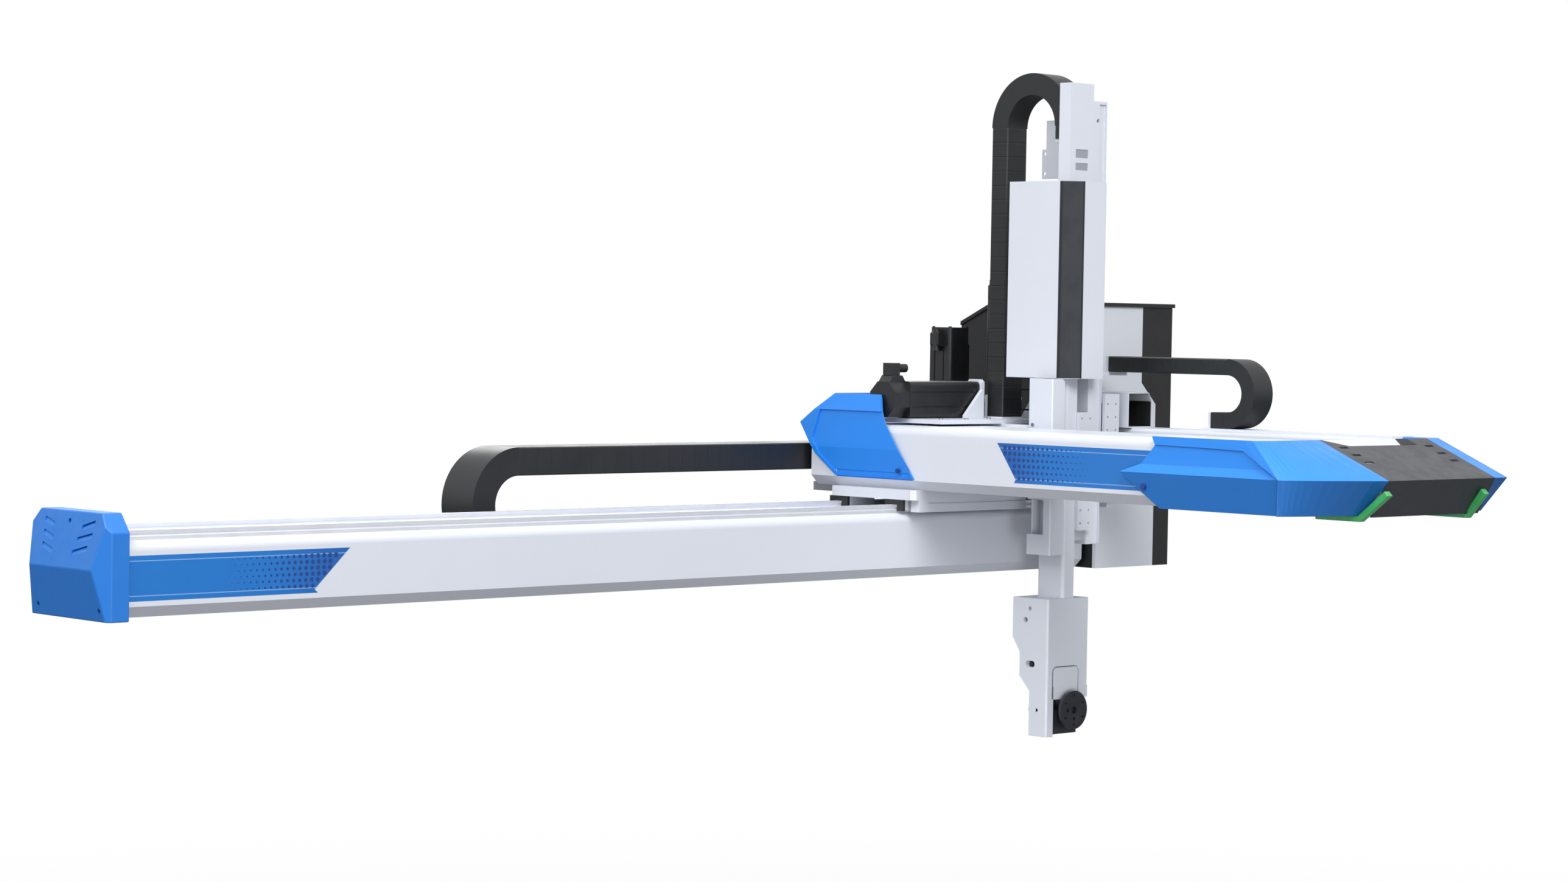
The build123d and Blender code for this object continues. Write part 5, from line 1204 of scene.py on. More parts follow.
@dataclass
class EndCap:
    """The blue moulded cap on the beam's free end, with three pairs of shallow slanted grooves."""

    kit: Kit
    crease: Flat = (-2680.0, 109.0)
    top: Flat = (-2650.0, 237.0)
    bottom: Flat = (-2656.0, -7.0)
    rear_x: float = -2599.0
    sides: Flat = (-147.0, 181.0)
    corner: float = 34.0
    slope: Flat = (43.0, 35.0)
    bevel: float = 3.0
    depth: float = 5.0
    half_width: float = 6.0
    grooves: tuple[tuple[float, float, float, float], ...] = (
        (118, 214, 75, 203), (113, 185, 69, 173), (109, 157, 63, 144),
        (-92, 214, -41, 200), (-90, 186, -31, 173), (-79, 157, -20, 143))
    holes: Outline = ((15, 214), (137, 18), (-119, 18))
    hole_radius: float = 6.0
    hole_past: float = 4.0
    spare: float = 5.0

    def build(self) -> None:
        """Makes the cap in the place of the plainer one."""
        (x0, z0), (x1, z1), (x2, z2) = self.crease, self.top, self.bottom
        low_y, high_y = self.sides
        c, w, spare = self.corner, self.half_width, self.spare
        drop, rise = self.slope
        upper = (z0 - z1, 0, x1 - x0)
        body = Solid("end_cap").box((x0 - spare, self.rear_x), self.sides, (z2, z1))
        body.cut((x0, 0, z0), upper).cut((x0, 0, z0), (z2 - z0, 0, x0 - x2))
        body.cut((x0, low_y + c, 0), (-1, -1, 0)).cut((x0, high_y - c, 0), (-1, 1, 0))
        body.cut((x0, low_y, z1 - drop), (0, -drop, rise)).cut((x0, high_y, z1 - drop), (0, drop, rise))
        cap = body.to_object(self.bevel)
        lean = (x1 - x0) / (z1 - z0)
        for y_a, z_a, y_b, z_b in self.grooves:
            shape = [(y_a, z_a - w), (y_a, z_a + w), (y_b, z_b + w), (y_b, z_b - w)]
            low_a, low_b = (Vector((x0 + (z - w - z0) * lean, y, z - w)) for y, z in ((y_a, z_a), (y_b, z_b)))
            sunk = Vector((x0 + (z_a + w - z0) * lean + self.depth, y_a, z_a + w))
            floor = (low_b - low_a).cross(sunk - low_a)
            floor = tuple(floor if floor.x > 0 else -floor)
            groove = Solid("groove").prism("X", shape, x0 - 2 * spare, x1 + 4 * spare)
            carve(cap, groove.cut(tuple(low_a), floor).to_object())
        for y, z in self.holes:
            hole = Solid("hole")
            hole.disc("X", (y, z), self.hole_radius, x0 - 2 * spare, x1 + self.hole_past, 24)
            carve(cap, hole.to_object())
        # The cap's darker blue is painted shade.
        cap.data.materials.clear()
        cap.data.materials.append(self.kit.finishes["blue_cap"])
        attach(cap, "base")
        stand_for(cap, "beam_end_cap")


@dataclass
class Nose:
    """The blue nose covers, the light bars under them and the white bracket in the plate's notch."""

    kit: Kit
    top_z: float = 416.3
    tip_z: float = 323.0
    low_z: float = 233.7
    plate: Flat = (103.7, 550.3)
    tip_y: float = -1584.0
    shoulder_y: float = -1365.0
    low_y: float = -1505.0
    side_x: float = -137.0
    ridge_out: float = 15.0
    ridge_y: float = -1440.0
    bulge: float = 14.0
    curve_steps: int = 12
    right_end_x: float = 600.3
    right_rear_y: Flat = (-1010.0, -1060.0)
    right_flange_y: float = -925.0
    right_wall: float = 4.0
    light_drop: float = 15.0
    light_rear_y: float = -1375.0
    light_left_x: Flat = (80.0, 100.0)
    light_right_x: Flat = (500.0, 520.0)
    notch_y: Flat = (-1366.0, -1400.0)
    notch_lift: float = 0.35
    notch_sheet: float = 0.6
    bracket_x: tuple[Flat, Flat] = ((112.0, 414.0), (182.0, 392.0))
    gap_x: tuple[Flat, Flat] = ((417.0, 464.0), (402.0, 464.0))

    def turn(self, share: float, start: Point, tangent_y: float, end: Point) -> Point:
        """Finds a point on the smooth turn from the side to the plate.

        Args:
            share: How far along the turn, from 0 to 1.
            start: The turn's end on the side.
            tangent_y: Where the turn leaves the side's direction.
            end: The turn's end at the plate.

        Returns:
            The point.
        """
        bend = Vector((start[0] + self.bulge, tangent_y, start[2]))
        a, b, c = Vector(start), bend, Vector(end)
        return tuple(a * (1 - share) ** 2 + b * 2 * share * (1 - share) + c * share ** 2)

    def left(self) -> None:
        """Makes the left cover: a raised frame and front over a lowered side panel."""
        kit, x, right = self.kit, self.side_x, self.plate[0]
        ridge_x, start_y = x - self.ridge_out, self.ridge_y
        cover = Solid("nose_left_shell")
        frame = [[(x, -1020, self.top_z), (x - 1, -1031, 395)], [(x, -1180, self.top_z), (x - 1, -1180, 393)],
                 [(x, -1318, self.top_z), (x - 2, -1318, 390)],
                 [(x, -1345, self.top_z), (ridge_x + 6, -1380, 356)],
                 [(x + 1, -1352, self.top_z), (ridge_x, start_y, self.tip_z)]]
        cover.wall(frame, (5, 0, -0.5))
        edges = (((x + 1, -1352, self.top_z), -1362, (right, self.shoulder_y, self.top_z)),
                 ((ridge_x, start_y, self.tip_z), -1484, (right, self.tip_y, self.tip_z)),
                 ((x - 2, start_y + 12, self.low_z), -1450, (right, self.low_y, self.low_z)))
        front = []
        for i in range(self.curve_steps + 1):
            share = i / self.curve_steps
            front.append([self.turn(share, start, bend_y, end) for start, bend_y, end in edges])
        cover.wall(front, (3, 4, -1))
        # The nose covers' blue carries painted shade on their faces that look down.
        stand_for(cover.make(kit.finishes["blue_nose"], "carriage"), "nose_cover_left")
        panel = Solid("nose_left_panel")
        tip, low = self.tip_z, self.low_z
        rows = [[(x + 3, -1031, 396), (x + 1, -984, 345), (ridge_x + 4, -922, tip), (x + 3, -1048, low)],
                [(x + 3, -1322, 392), (x + 1, -1340, 345), (ridge_x + 4, -1378, tip), (x + 3, -1374, low)],
                [(x + 5, -1372, 372), (x + 3, -1392, 345), (ridge_x + 6, start_y, tip),
                 (x + 5, start_y + 14, low)]]
        panel.wall(rows, (3, 0, 0)).make(kit.finishes["blue_nose"], "carriage")

    def right(self) -> None:
        """Makes the right cover, which hugs the far beam."""
        x0, x1, wall = self.plate[1], self.right_end_x, self.right_wall
        top_y, foot_y = self.right_rear_y
        outer = [(top_y, self.top_z), (self.shoulder_y, self.top_z), (self.tip_y, self.tip_z),
                 (self.low_y, self.low_z), (foot_y, self.low_z)]
        inner = [(foot_y, self.low_z + wall), (self.low_y + 3, self.low_z + wall),
                 (self.tip_y + 6, self.tip_z), (self.shoulder_y + 1, self.top_z - wall),
                 (top_y, self.top_z - wall)]
        cover = Solid("nose_right_shell").prism("X", outer + inner, x0, x1)
        cover.prism("X", outer + [(self.right_flange_y, self.tip_z)], x1 - wall, x1)
        # The right cover's blue carries painted shade on its faces that look down.
        stand_for(cover.make(self.kit.finishes["blue_nose"], "carriage"), "nose_cover_right")

    def lights(self) -> None:
        """Makes the two light bars, each with a bent end that rises along the nose."""
        low, rear = self.low_z - self.light_drop, self.light_rear_y
        side = [(rear, low + 14), (rear, low), (-1514, low), (-1600, 287), (-1588, 299), (-1506, low + 14)]
        ahead = [(rear, low + 11), (rear, low), (-1534, low), (-1588, 283), (-1575, 296), (-1535, 242),
                 (-1533, low + 11)]
        bars = Solid("light_bars").prism("X", side, *self.light_left_x)
        bars.prism("X", ahead, *self.light_right_x)
        stand_for(bars.make(self.kit.finishes["green"], "carriage", 2.0), "light_strips")

    def notch(self) -> None:
        """Shows the white bracket, and a near-black sheet as painted shade at the end of the notch in the
        nose plate's rear edge.
        """
        slope = (self.top_z - self.tip_z) / (self.shoulder_y - self.tip_y)
        (rear_y, front_y), lift = self.notch_y, self.notch_lift
        for name, finish, (rear_x, front_x) in (("nose_bracket", "sheet", self.bracket_x),
                                                ("nose_notch", "inside", self.gap_x)):
            points = [(rear_x[0], rear_y), (rear_x[1], rear_y), (front_x[1], front_y), (front_x[0], front_y)]
            flat = [(x, y, self.top_z + lift + (y - self.shoulder_y) * slope) for x, y in points]
            grid = [[flat[0], flat[1]], [flat[3], flat[2]]]
            Solid(name).wall(grid, (0, 0, -self.notch_sheet)).make(self.kit.finishes[finish], "carriage")

    def build(self) -> None:
        """Makes all of the nose."""
        self.left()
        self.right()
        self.lights()
        self.notch()


@dataclass
class Traverse(Unit):
    """The fixed beam with its rails, rack, end cap and chain tray."""

    looks: ClassVar[dict[str, str]] = {
        "traverse_beam": "profile", "traverse_rails": "rail", "traverse_rack": "rack",
        "beam_end_cap": "blue", "chain_tray": "sheet", "traverse_bend_lower": "chain_bend",
        "traverse_bend_upper": "chain_bend", "traverse_pinion": "rack"}
    start_x: float = -2603.0
    end_x: float = 568.0
    rail_y: float = 108.0
    rail_top_z: float = 197.0
    plug_radius: float = 5.5
    plug_pitch: float = 60.0
    front_y: float = -140.0
    vinyl: Outline = ((-2597, 38), (-2080, 38), (-2090, 46), (-1989, 141), (-2597, 141))
    dots_x: Flat = (-2330, -1995)
    dots_z: Flat = (55, 125)
    tray_start_x: float = -2440.0
    tray_sheet: float = 3.0
    tray_width: float = 143.0
    tray_lip: float = 40.0
    tray_rear_y: float = 387.0
    tray_screws: tuple[float, float, float] = (-2400, -1080, 118)
    tray_screw_z: float = 70.0
    tray_stop: Flat = (60.0, 52.0)
    bracket_insets: Flat = (60.0, 100.0)
    bracket_pitch: float = 460.0
    bracket_width: float = 40.0

    def build(self) -> None:
        """Adds the vinyl, the rail plugs, the end cap, the tray with its screws and the two chain runs."""
        kit = self.kit
        Sticker(kit, "traverse_vinyl", "base", "Y", self.front_y, self.vinyl, "vinyl_x",
                self.dots_x, self.dots_z).build()
        inset = self.plug_pitch / 2
        along = steps(self.start_x + inset, self.end_x - inset, self.plug_pitch)
        plugs = [(x, y, self.rail_top_z) for y in (-self.rail_y, self.rail_y) for x in along]
        kit.plugs.place("rail_plugs", "base", self.plug_radius, kit.plug_height, Side.TOP, plugs)
        EndCap(kit).build()
        tray = [(x, self.tray_rear_y, self.tray_screw_z) for x in steps(*self.tray_screws)]
        kit.dark_screws.place("tray_screws", "base", *Head.SMALL.value, Side.REAR, tray)
        self.tray()
        upper, lower = ("carriage", "traverse_bend_carriage"), ("base", "traverse_bend_base")
        ChainRun(kit, "traverse_chain_upper", Run.ALONG_X, True, upper, "chain_x", 72).build()
        ChainRun(kit, "traverse_chain_lower", Run.ALONG_X, True, lower, "chain_x", 16).build()

    def tray(self) -> None:
        """Makes the chain's tray, which starts a little way in from the cap, for the longer one."""
        low, high = node_box("chain_tray")
        start, floor_z, wall = self.tray_start_x, low.z + self.tray_sheet, self.tray_sheet
        inner_y = high.y - self.tray_width
        tray = Solid("chain_tray_shell").box((start, high.x), (inner_y, high.y), (low.z, floor_z))
        for y in (inner_y, high.y - wall):
            tray.box((start, high.x), (y, y + wall), (floor_z, floor_z + self.tray_lip))
        stop = (high.x - self.tray_stop[0], high.x - self.tray_stop[1])
        tray.box(stop, (inner_y + wall, high.y - wall), (floor_z, high.z))
        first, last = start + self.bracket_insets[0], high.x - self.bracket_insets[1]
        for x in steps(first, last, self.bracket_pitch):
            outline = [(low.y, low.z), (inner_y, low.z), (inner_y, floor_z - 12), (low.y + 10, low.z + 22),
                       (low.y, low.z + 22)]
            tray.prism("X", outline, x, x + self.bracket_width)
        stand_for(tray.make(self.kit.finishes["sheet"], "base"), "chain_tray")


@dataclass
class Carriage(Unit):
    """The saddle on the traverse beam, with its motor and bearing blocks."""

    looks: ClassVar[dict[str, str]] = {
        "carriage_plate": "plate", "carriage_blocks": "rail", "rail_wipers": "black",
        "traverse_gearbox": "motor", "traverse_motor": "motor"}
    front_screws: Grid = ((186, 216, 300, 330, 420, 450, 540, 570), (-158, -120), (238.0,))
    rear_screws: Grid = ((470, 500, 540, 570), (118,), (238.0,))
    motor_screws: Grid = ((331, 397), (149, 215), (682,))

    def build(self) -> None:
        """Adds the screws of the plate and of the motor."""
        top = [*product(*self.front_screws), *product(*self.rear_screws)]
        self.kit.screws.place("carriage_screws", "carriage", *Head.BROAD.value, Side.TOP, top)
        flange = list(product(*self.motor_screws))
        self.kit.dark_screws.place("traverse_motor_screws", "carriage", *Head.SMALL.value, Side.TOP, flange)


@dataclass
class DemouldUnit(Unit):
    """The beam across the carriage with its rails, covers, lights and chain."""

    looks: ClassVar[dict[str, str]] = {
        "demould_beam": "profile", "demould_rails": "rail_y", "rear_cover": "blue",
        "nose_cover_left": "blue", "nose_cover_right": "blue", "nose_plate": "dark_plate",
        "light_strips": "green", "nose_frame": "sheet", "tray_beam": "profile", "demould_rack": "rack",
        "hose_box": "sheet", "demould_bend_lower": "chain_bend", "demould_bend_upper": "chain_bend",
        "demould_pinion": "rack"}
    left_x: float = -131.0
    vinyl: Outline = ((-478, 379), (-1060, 379), (-1060, 275), (-541, 275), (-547, 284))
    dots_y: Flat = (-800, -490)
    dots_z: Flat = (288, 368)
    rail_face_x: float = 166.5
    rail_y: Flat = (-1300, 100)
    rail_z: Flat = (280, 376)
    plug_radius: float = 5.0
    plug_pitch: float = 60.0
    recesses: tuple[tuple[Flat, float, Flat], ...] = (
        ((-1002, 288), 7.5, (-149.6, -140)), ((-117, 289), 6.5, (-143.6, -138)))
    seam: Outline = ((-166, 264), (130, 264), (130, 312), (-132, 312))
    seam_x: Flat = (-131.27, -131.02)
    hose_screws: Grid = ((556,), (-400, -300), (470,))
    hose_room: tuple[Flat, Flat, Flat] = ((459.2, 552.8), (-421.0, -275.3), (415.2, 506.8))
    hose_slot: Flat = (14, 22)

    def build(self) -> None:
        """Adds the vinyl, the plugs, the nose, navy discs as painted shade in the cover's recesses,
        near-black sheets as painted shade inside the hose box, and the chain.
        """
        kit = self.kit
        Sticker(kit, "demould_vinyl", "carriage", "X", self.left_x, self.vinyl, "vinyl_y",
                self.dots_y, self.dots_z).build()
        along = steps(*self.rail_y, self.plug_pitch)
        plugs = [(self.rail_face_x, y, z) for z in self.rail_z for y in along]
        kit.plugs.place("demould_rail_plugs", "carriage", self.plug_radius, kit.plug_height, Side.RIGHT,
                        plugs)
        Nose(kit).build()
        # Navy discs where the cover has screw recesses: painted shade in the recesses.
        sunk = Solid("cover_recesses")
        for centre, radius, (start, end) in self.recesses:
            sunk.disc("X", centre, radius, start, end, 24)
        sunk.make(kit.finishes["navy"], "carriage")
        backing = Solid("rear_cover_backing").prism("X", list(self.seam), *self.seam_x)
        backing.make(kit.finishes["blue"], "carriage")
        self.lining()
        box = list(product(*self.hose_screws))
        kit.dark_screws.place("hose_box_screws", "carriage", *Head.LEAST.value, Side.RIGHT, box)
        lower, upper = ("carriage", "demould_bend_beam"), ("arm_carriage", "demould_bend_arm")
        ChainRun(kit, "demould_chain_lower", Run.ALONG_Y, True, lower, "chain_y", 14).build()
        ChainRun(kit, "demould_chain_upper", Run.ALONG_Y, True, upper, "chain_y", 60).build()

    def lining(self) -> None:
        """Puts near-black sheets inside the hose box as painted shade, which its open front shows."""
        (x0, x1), (y0, y1), (z0, z1) = self.hose_room
        in_x, in_z = x1 - self.hose_slot[0], z1 - self.hose_slot[1]
        lining = Solid("hose_box_lining")
        lining.box((x0, x1), (y0, y1), (z0, z0 + 1))
        lining.box((x0, in_x), (y0, y1), (z1 - 1, z1))
        lining.box((x0, x0 + 1), (y0, y1), (z0, z1))
        lining.box((x1 - 1, x1), (y0, y1), (z0, in_z))
        lining.box((x0, x1), (y1 - 1, y1), (z0, in_z))
        lining.box((x0, in_x), (y1 - 1, y1), (in_z, z1))
        lining.make(self.kit.finishes["inside"], "carriage")


@dataclass
class ArmCarriage(Unit):
    """The carriage that runs along the demould beam, with its column, cover, motors and chain leg."""

    looks: ClassVar[dict[str, str]] = {
        "arm_frame": "plate", "arm_blocks": "rail_y", "guide_column": "profile",
        "right_front_plate": "plate", "arm_cover": "sheet", "lift_motor": "motor", "lift_flange": "plate",
        "lift_belt": "belt", "demould_drive": "motor", "demould_motor": "motor", "drive_shaft": "shaft",
        "lift_pinion": "rack", "lift_bend_rear": "chain_bend"}
    flange_x: Flat = (209.0, 223.0)
    base_z: float = 430.0
    flange_top_z: float = 538.0
    flange_y: Flat = (-93.0, -38.0)
    cover_left_x: float = 200.0
    cover_front_y: float = -434.0
    cover_bevel: float = 39.0
    strip_z: Flat = (549, 1087)
    strip_tails: Flat = (11, 7)
    strip_out: float = 0.25
    block_screws: Grid = ((428,), (-364, -318), (226, 274, 401, 449))
    side_screws: Grid = ((197,), (-282, -242, -40, 0), (268, 292, 364, 388))
    column_screws: Grid = ((168,), (-330,), (330, 420))
    base_screws: Grid = ((-40, 60, 150), (-180, 40), (430.0,))
    gusset_foot: float = 74.0
    gusset_rise: float = 80.0
    gusset_sheet: float = 10.0
    gusset_ends: Flat = (6.0, 8.0)
    gusset_sunk: float = 0.5
    flange_bevel: float = 8.0
    flange_screw: float = 16.0

    def build(self) -> None:
        """Adds the corner strip, the screws, the motor's flange and the chain's standing leg."""
        kit = self.kit
        left, front, bevel = self.cover_left_x, self.cover_front_y, self.cover_bevel
        out = self.strip_out
        rear, right = front + bevel + self.strip_tails[0], left + bevel + self.strip_tails[1]
        skew = out * math.tan(math.radians(22.5))
        strip = [(left, rear), (left, front + bevel), (left + bevel, front), (right, front),
                 (right, front - out), (left + bevel - skew, front - out),
                 (left - out, front + bevel - skew), (left - out, rear)]
        Solid("corner_strip").prism("Z", strip, *self.strip_z).make(kit.finishes["strip"], "arm_carriage")
        x, y, z = self.block_screws
        plate = [(along, across, up) for up in z for along in x for across in y]
        kit.screws.place("lift_block_screws", "arm_carriage", *Head.LARGE.value, Side.RIGHT, plate)
        side = list(product(*self.side_screws))
        kit.screws.place("arm_block_screws", "arm_carriage", *Head.MIDDLE.value, Side.RIGHT, side)
        self.flange()
        column = list(product(*self.column_screws))
        kit.screws.place("column_screws", "arm_carriage", *Head.MIDDLE.value, Side.LEFT, column)
        base = list(product(*self.base_screws))
        kit.screws.place("base_screws", "arm_carriage", *Head.LARGE.value, Side.TOP, base)
        runs = ("arm_carriage", "lift_bend_carriage")
        ChainRun(kit, "lift_chain_fixed", Run.ALONG_Z, False, runs, "chain_z", 48).build()

    def flange(self) -> None:
        """Makes the lift motor's flange plate with its slanted gusset, which stands for the plain one."""
        x0, x1 = self.flange_x
        base, top = self.base_z, self.flange_top_z
        y0, y1 = self.flange_y
        b, inset = self.flange_bevel, self.flange_screw
        plate = Solid("flange_plate")
        face = [(y0, base), (y1, base), (y1, top - b), (y1 - b, top), (y0 + b, top), (y0, top - b)]
        plate.prism("X", face, x0, x1)
        foot, rise, sunk = x0 - self.gusset_foot, base + self.gusset_rise, x0 + self.gusset_sunk
        tip, toe = self.gusset_ends
        gusset = [(foot, base), (sunk, base), (sunk, rise), (x0 - tip, rise), (foot, base + toe)]
        plate.prism("Y", gusset, y0 - self.gusset_sheet, y0)
        stand_for(plate.make(self.kit.finishes["plate"], "arm_carriage", 0.8), "lift_flange")
        screws = [(x0, y, top - inset) for y in (y0 + inset, y1 - inset)]
        self.kit.screws.place("flange_screws", "arm_carriage", *Head.MIDDLE.value, Side.LEFT, screws)


@dataclass
class ArmStages(Unit):
    """The telescoping arm: outer stage with its guard and plates, and inner stage."""

    looks: ClassVar[dict[str, str]] = {
        "outer_stage": "profile", "outer_rail": "rail_z", "head_guard": "sheet",
        "telescope_blocks": "rail_z", "telescope_plate": "plate", "inner_stage": "profile",
        "lift_bend_front": "chain_bend"}
    window_x: Flat = (255, 303)
    window_y: Flat = (-389, -387.6)
    windows_z: Outline = ((1154, 1175), (1120, 1138))
    outer_rail: Flat = (397.5, -340)
    outer_rail_z: Flat = (130, 1270)
    inner_rail: Flat = (291.5, -347)
    inner_rail_z: Flat = (0, 1020)
    plug_radius: float = 5.0
    plug_pitch: float = 60.0

    def build(self) -> None:
        """Adds the guard's window fillers, the rail plugs and the chain's moving leg."""
        kit = self.kit
        fillers = Solid("window_fillers")
        for heights in self.windows_z:
            fillers.box(self.window_x, self.window_y, heights)
        fillers.make(kit.finishes["filler"], "outer_arm")
        for stage, rail, ends in (("outer", self.outer_rail, self.outer_rail_z),
                                  ("inner", self.inner_rail, self.inner_rail_z)):
            plugs = [(*rail, z) for z in steps(*ends, self.plug_pitch)]
            kit.plugs.place(stage + "_rail_plugs", stage + "_arm", self.plug_radius, kit.plug_height,
                            Side.RIGHT, plugs)
        runs = ("outer_arm", "lift_bend_arm")
        ChainRun(kit, "lift_chain_moving", Run.ALONG_Z, False, runs, "chain_z", 10).build()


@dataclass
class Wrist(Unit):
    """The white wrist box at the arm's foot, with its tilting head and tool disc."""

    looks: ClassVar[dict[str, str]] = {
        "wrist_box": "plate", "wrist_hatch": "plate", "wrist_head": "wrist", "tool_disc": "wrist"}
    hatch_x: Flat = (190.0, 288.0)
    hatch_top_z: float = -244.0
    hatch_radius: float = 14.0
    flats: int = 8
    groove: float = 2.6
    sunk: float = 0.4
    front_y: float = -405.2
    face_y: Flat = (-402.0, -396.0)
    face_x: Flat = (193.0, 331.0)
    face_z: Flat = (-331.0, -299.0)
    axle: Flat = (-350.0, -361.0)
    axle_radius: float = 14.0
    cap_x: Flat = (164.3, 164.95)

    def build(self) -> None:
        """Adds the hatch with its groove, and a flush cap over the end of the tilt axle."""
        self.hatch()
        cap = Solid("axle_cap").disc("X", self.axle, self.axle_radius, *self.cap_x, 28)
        cap.make(self.kit.finishes["plate"], "inner_arm")

    def arch(self, margin: float, low_z: float) -> list[Flat]:
        """Draws the outline of the round-topped hatch, grown by a margin.

        Args:
            margin: How far it stands off the hatch.
            low_z: The outline's lower edge.

        Returns:
            Its points in X and Z.
        """
        left, right = self.hatch_x[0] - margin, self.hatch_x[1] + margin
        radius, top = self.hatch_radius + margin, self.hatch_top_z + margin
        points = [(left, low_z), (right, low_z)]
        for middle, turned in ((right - radius, 0), (left + radius, 1)):
            for i in range(self.flats + 1):
                angle = math.pi / 2 * (turned + i / self.flats)
                points.append((middle + radius * math.cos(angle), top - radius + radius * math.sin(angle)))
        return points

    def hatch(self) -> None:
        """Adds the hatch's lower panel and the dark groove round it."""
        front, face, low = self.front_y, self.face_y[0], self.face_z[0]
        left, right = self.hatch_x
        ring = Solid("hatch_groove").prism("Y", self.arch(self.groove, low + 1), face, front + self.sunk)
        ring.make(self.kit.finishes["groove"], "inner_arm")
        panel = Solid("hatch_panel").prism("Y", self.arch(0, low), face, front)
        panel.make(self.kit.finishes["plate"], "inner_arm")
        lower = Solid("front_lower").box((right + 4, self.face_x[1]), self.face_y, self.face_z)
        lower.box((self.face_x[0], left - 3), self.face_y, self.face_z)
        lower.make(self.kit.finishes["plate"], "inner_arm")


@dataclass
class Cabinet(Unit):
    """The control cabinet at the beam's end."""

    looks: ClassVar[dict[str, str]] = {
        "cabinet_carcass": "cabinet", "cabinet_door": "door", "cabinet_hood": "cabinet"}
    vents_down: Flat = (170.0, 330.0)
    vent_pitch: float = 20.0
    vent_inset: float = 70.0
    screw_inset: float = 30.0
    screw_pitch: float = 240.0
    side_screws: Grid = ((602,), (-150, 90, 345), (200, 650))

    def build(self) -> None:
        """Adds the rear vents and the panels' screws."""
        kit = self.kit
        low, high = node_box("cabinet_carcass")
        vents = Solid("rear_vents")
        for z in steps(high.z - self.vents_down[0], high.z - self.vents_down[1], self.vent_pitch):
            louvre = [(high.y - 1, z - 4), (high.y + 4, z - 4), (high.y - 1, z + 8)]
            vents.prism("X", louvre, low.x + self.vent_inset, high.x - self.vent_inset)
        vents.make(kit.finishes["cabinet"], "base")
        heights = steps(low.z + 40, high.z - 90, self.screw_pitch)
        edges = (low.x + self.screw_inset, high.x - self.screw_inset)
        rear = [(x, high.y, z) for x in edges for z in heights]
        kit.dark_screws.place("rear_panel_screws", "base", *Head.FLAT.value, Side.REAR, rear)
        side = list(product(*self.side_screws))
        kit.dark_screws.place("cabinet_screws", "base", *Head.FLAT.value, Side.LEFT, side)


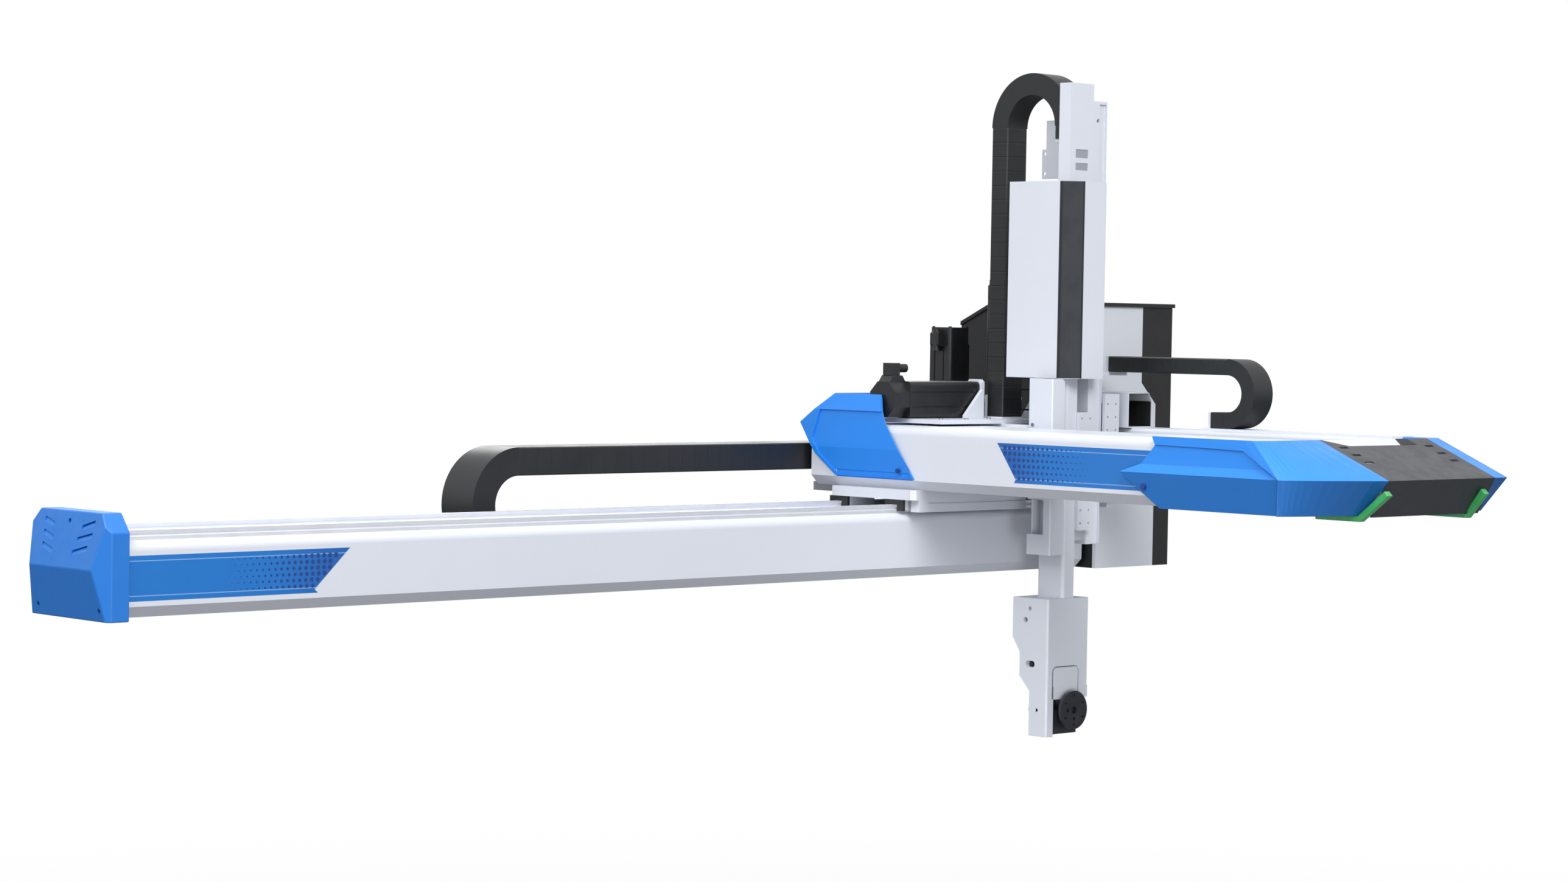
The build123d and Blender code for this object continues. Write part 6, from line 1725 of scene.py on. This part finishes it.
@dataclass
class Studio:
    """The pale floor, the soft light and the camera."""

    floor_z: float = -1.96
    place: Point = (-6.860, -6.799, 0.693)
    azimuth: float = -43.2789
    elevation: float = 1.98208
    roll: float = -0.984774
    lens: float = 79.83
    sensor: float = 36
    sight: float = 200
    reach: float = 60.0

    def floor(self) -> None:
        """Lays the floor, which the camera sees as white with the machine's shadow on it."""
        s = Shader("studio_floor")
        path = s.node("ShaderNodeLightPath", {}, {}, "Is Camera Ray")
        pale = s.mix(s.noise(0.8, 3, 0.5), (0.88, 0.88, 0.89), (0.92, 0.92, 0.92))
        s.set(Base_Color=s.mix(path, (0.25, 0.25, 0.26), pale), Roughness=0.9)
        distance = s.node("ShaderNodeVectorMath", {"operation": "LENGTH"}, {0: s.place}, "Value")
        far = distance.ramp(3.5, 9.0, 0.72, 1.0)
        white = s.node("ShaderNodeEmission", {}, {})
        blend = s.node("ShaderNodeMixShader", {}, {0: path * far, 1: s.surface.outputs[0], 2: white})
        s.tree.links.new(blend.socket, s.output.inputs["Surface"])
        mesh = bpy.data.meshes.new("floor")
        r = self.reach
        corners = [(-r, -r), (r, -r), (r, r), (-r, r)]
        mesh.from_pydata([(x, y, self.floor_z) for x, y in corners], [], [(0, 1, 2, 3)])
        mesh.materials.append(s.material)
        put("floor", mesh)

    def sky(self) -> None:
        """Makes the world white to the camera and to mirrors, and an even soft light elsewhere."""
        world = bpy.data.worlds.new("studio")
        bpy.context.scene.world = world
        world.use_nodes = True
        tree = world.node_tree
        tree.nodes.clear()
        soft = add_node(tree, "ShaderNodeBackground", {}, {0: (0.95, 0.97, 1.0, 1.0), 1: 0.34})
        seen = add_node(tree, "ShaderNodeBackground", {}, {0: (1.0, 1.0, 1.0, 1.0), 1: 1.0})
        share = add_node(tree, "ShaderNodeLightPath", {}, {}, "Is Camera Ray")
        path = share.node
        for name in ("Is Glossy Ray", "Is Transmission Ray"):
            ends = {0: share, 1: path.outputs[name]}
            share = add_node(tree, "ShaderNodeMath", {"operation": "MAXIMUM"}, ends)
        mixed = add_node(tree, "ShaderNodeMixShader", {}, {0: share, 1: soft, 2: seen})
        tree.links.new(mixed, tree.nodes.new("ShaderNodeOutputWorld").inputs["Surface"])

    def lamp(self, name: str, place: Point, size: float, power: float, aim: Point = (-0.6, -0.5, 0.4),
             spread: float = 180.0) -> None:
        """Hangs a square soft lamp that points at the machine.

        Args:
            name: The lamp's name.
            place: Where it hangs, in metres.
            size: Its side in metres.
            power: Its power in watts.
            aim: The point that it looks at.
            spread: The full angle of its beam in degrees.
        """
        data = bpy.data.lights.new(name, "AREA")
        data.spread = math.radians(spread)
        data.shape = "SQUARE"
        data.size = size
        data.energy = power
        hung = put(name, data)
        hung.location = place
        way = Vector(aim) - Vector(place)
        hung.rotation_euler = way.to_track_quat("-Z", "Y").to_euler()

    def camera(self) -> None:
        """Places the camera where the photograph was taken from."""
        a, e, r = (math.radians(value) for value in (self.azimuth, self.elevation, self.roll))
        back = Vector((math.sin(a) * math.cos(e), -math.cos(a) * math.cos(e), math.sin(e)))
        right = Vector((0, 0, 1)).cross(back).normalized()
        up = back.cross(right)
        turned_right = right * math.cos(r) - up * math.sin(r)
        turned_up = right * math.sin(r) + up * math.cos(r)
        data = bpy.data.cameras.new("camera")
        data.sensor_width = self.sensor
        data.lens = self.lens
        data.clip_end = self.sight
        made = put("camera", data)
        matrix = Matrix((turned_right, turned_up, back)).transposed().to_4x4()
        matrix.translation = Vector(self.place)
        made.matrix_world = matrix
        bpy.context.scene.camera = made

    def build(self) -> None:
        """Sets up the whole studio."""
        bpy.context.scene.view_settings.view_transform = "Standard"
        self.floor()
        self.sky()
        self.lamp("key", (-2.3, -6.6, 6.0), 4.0, 545)
        self.lamp("fill", (-6.6, -0.8, 5.4), 4.0, 390)
        self.lamp("top", (0.0, -1.0, 6.5), 5.0, 50)
        self.lamp("low", (-4.8, -7.0, 0.6), 3.0, 95)
        self.lamp("arm", (-2.6, -4.6, -1.1), 1.2, 2.6, (0.25, -0.4, -0.62), 28.0)
        self.lamp("rear", (3.5, 5.5, 4.0), 4.0, 190)
        self.camera()


def main() -> None:
    """Builds the machine's sub-assemblies in order, then the studio."""
    logging.basicConfig(level=logging.INFO, format="%(name)s: %(message)s")
    kit = Kit(Finishes())
    for unit in (Traverse, Carriage, DemouldUnit, ArmCarriage, ArmStages, Wrist, Cabinet):
        piece = unit(kit)
        piece.dress()
        piece.build()
        log.info("%s done", unit.__name__)
    Studio().build()
    log.info("Studio done")


if __name__ == "__main__":
    main()
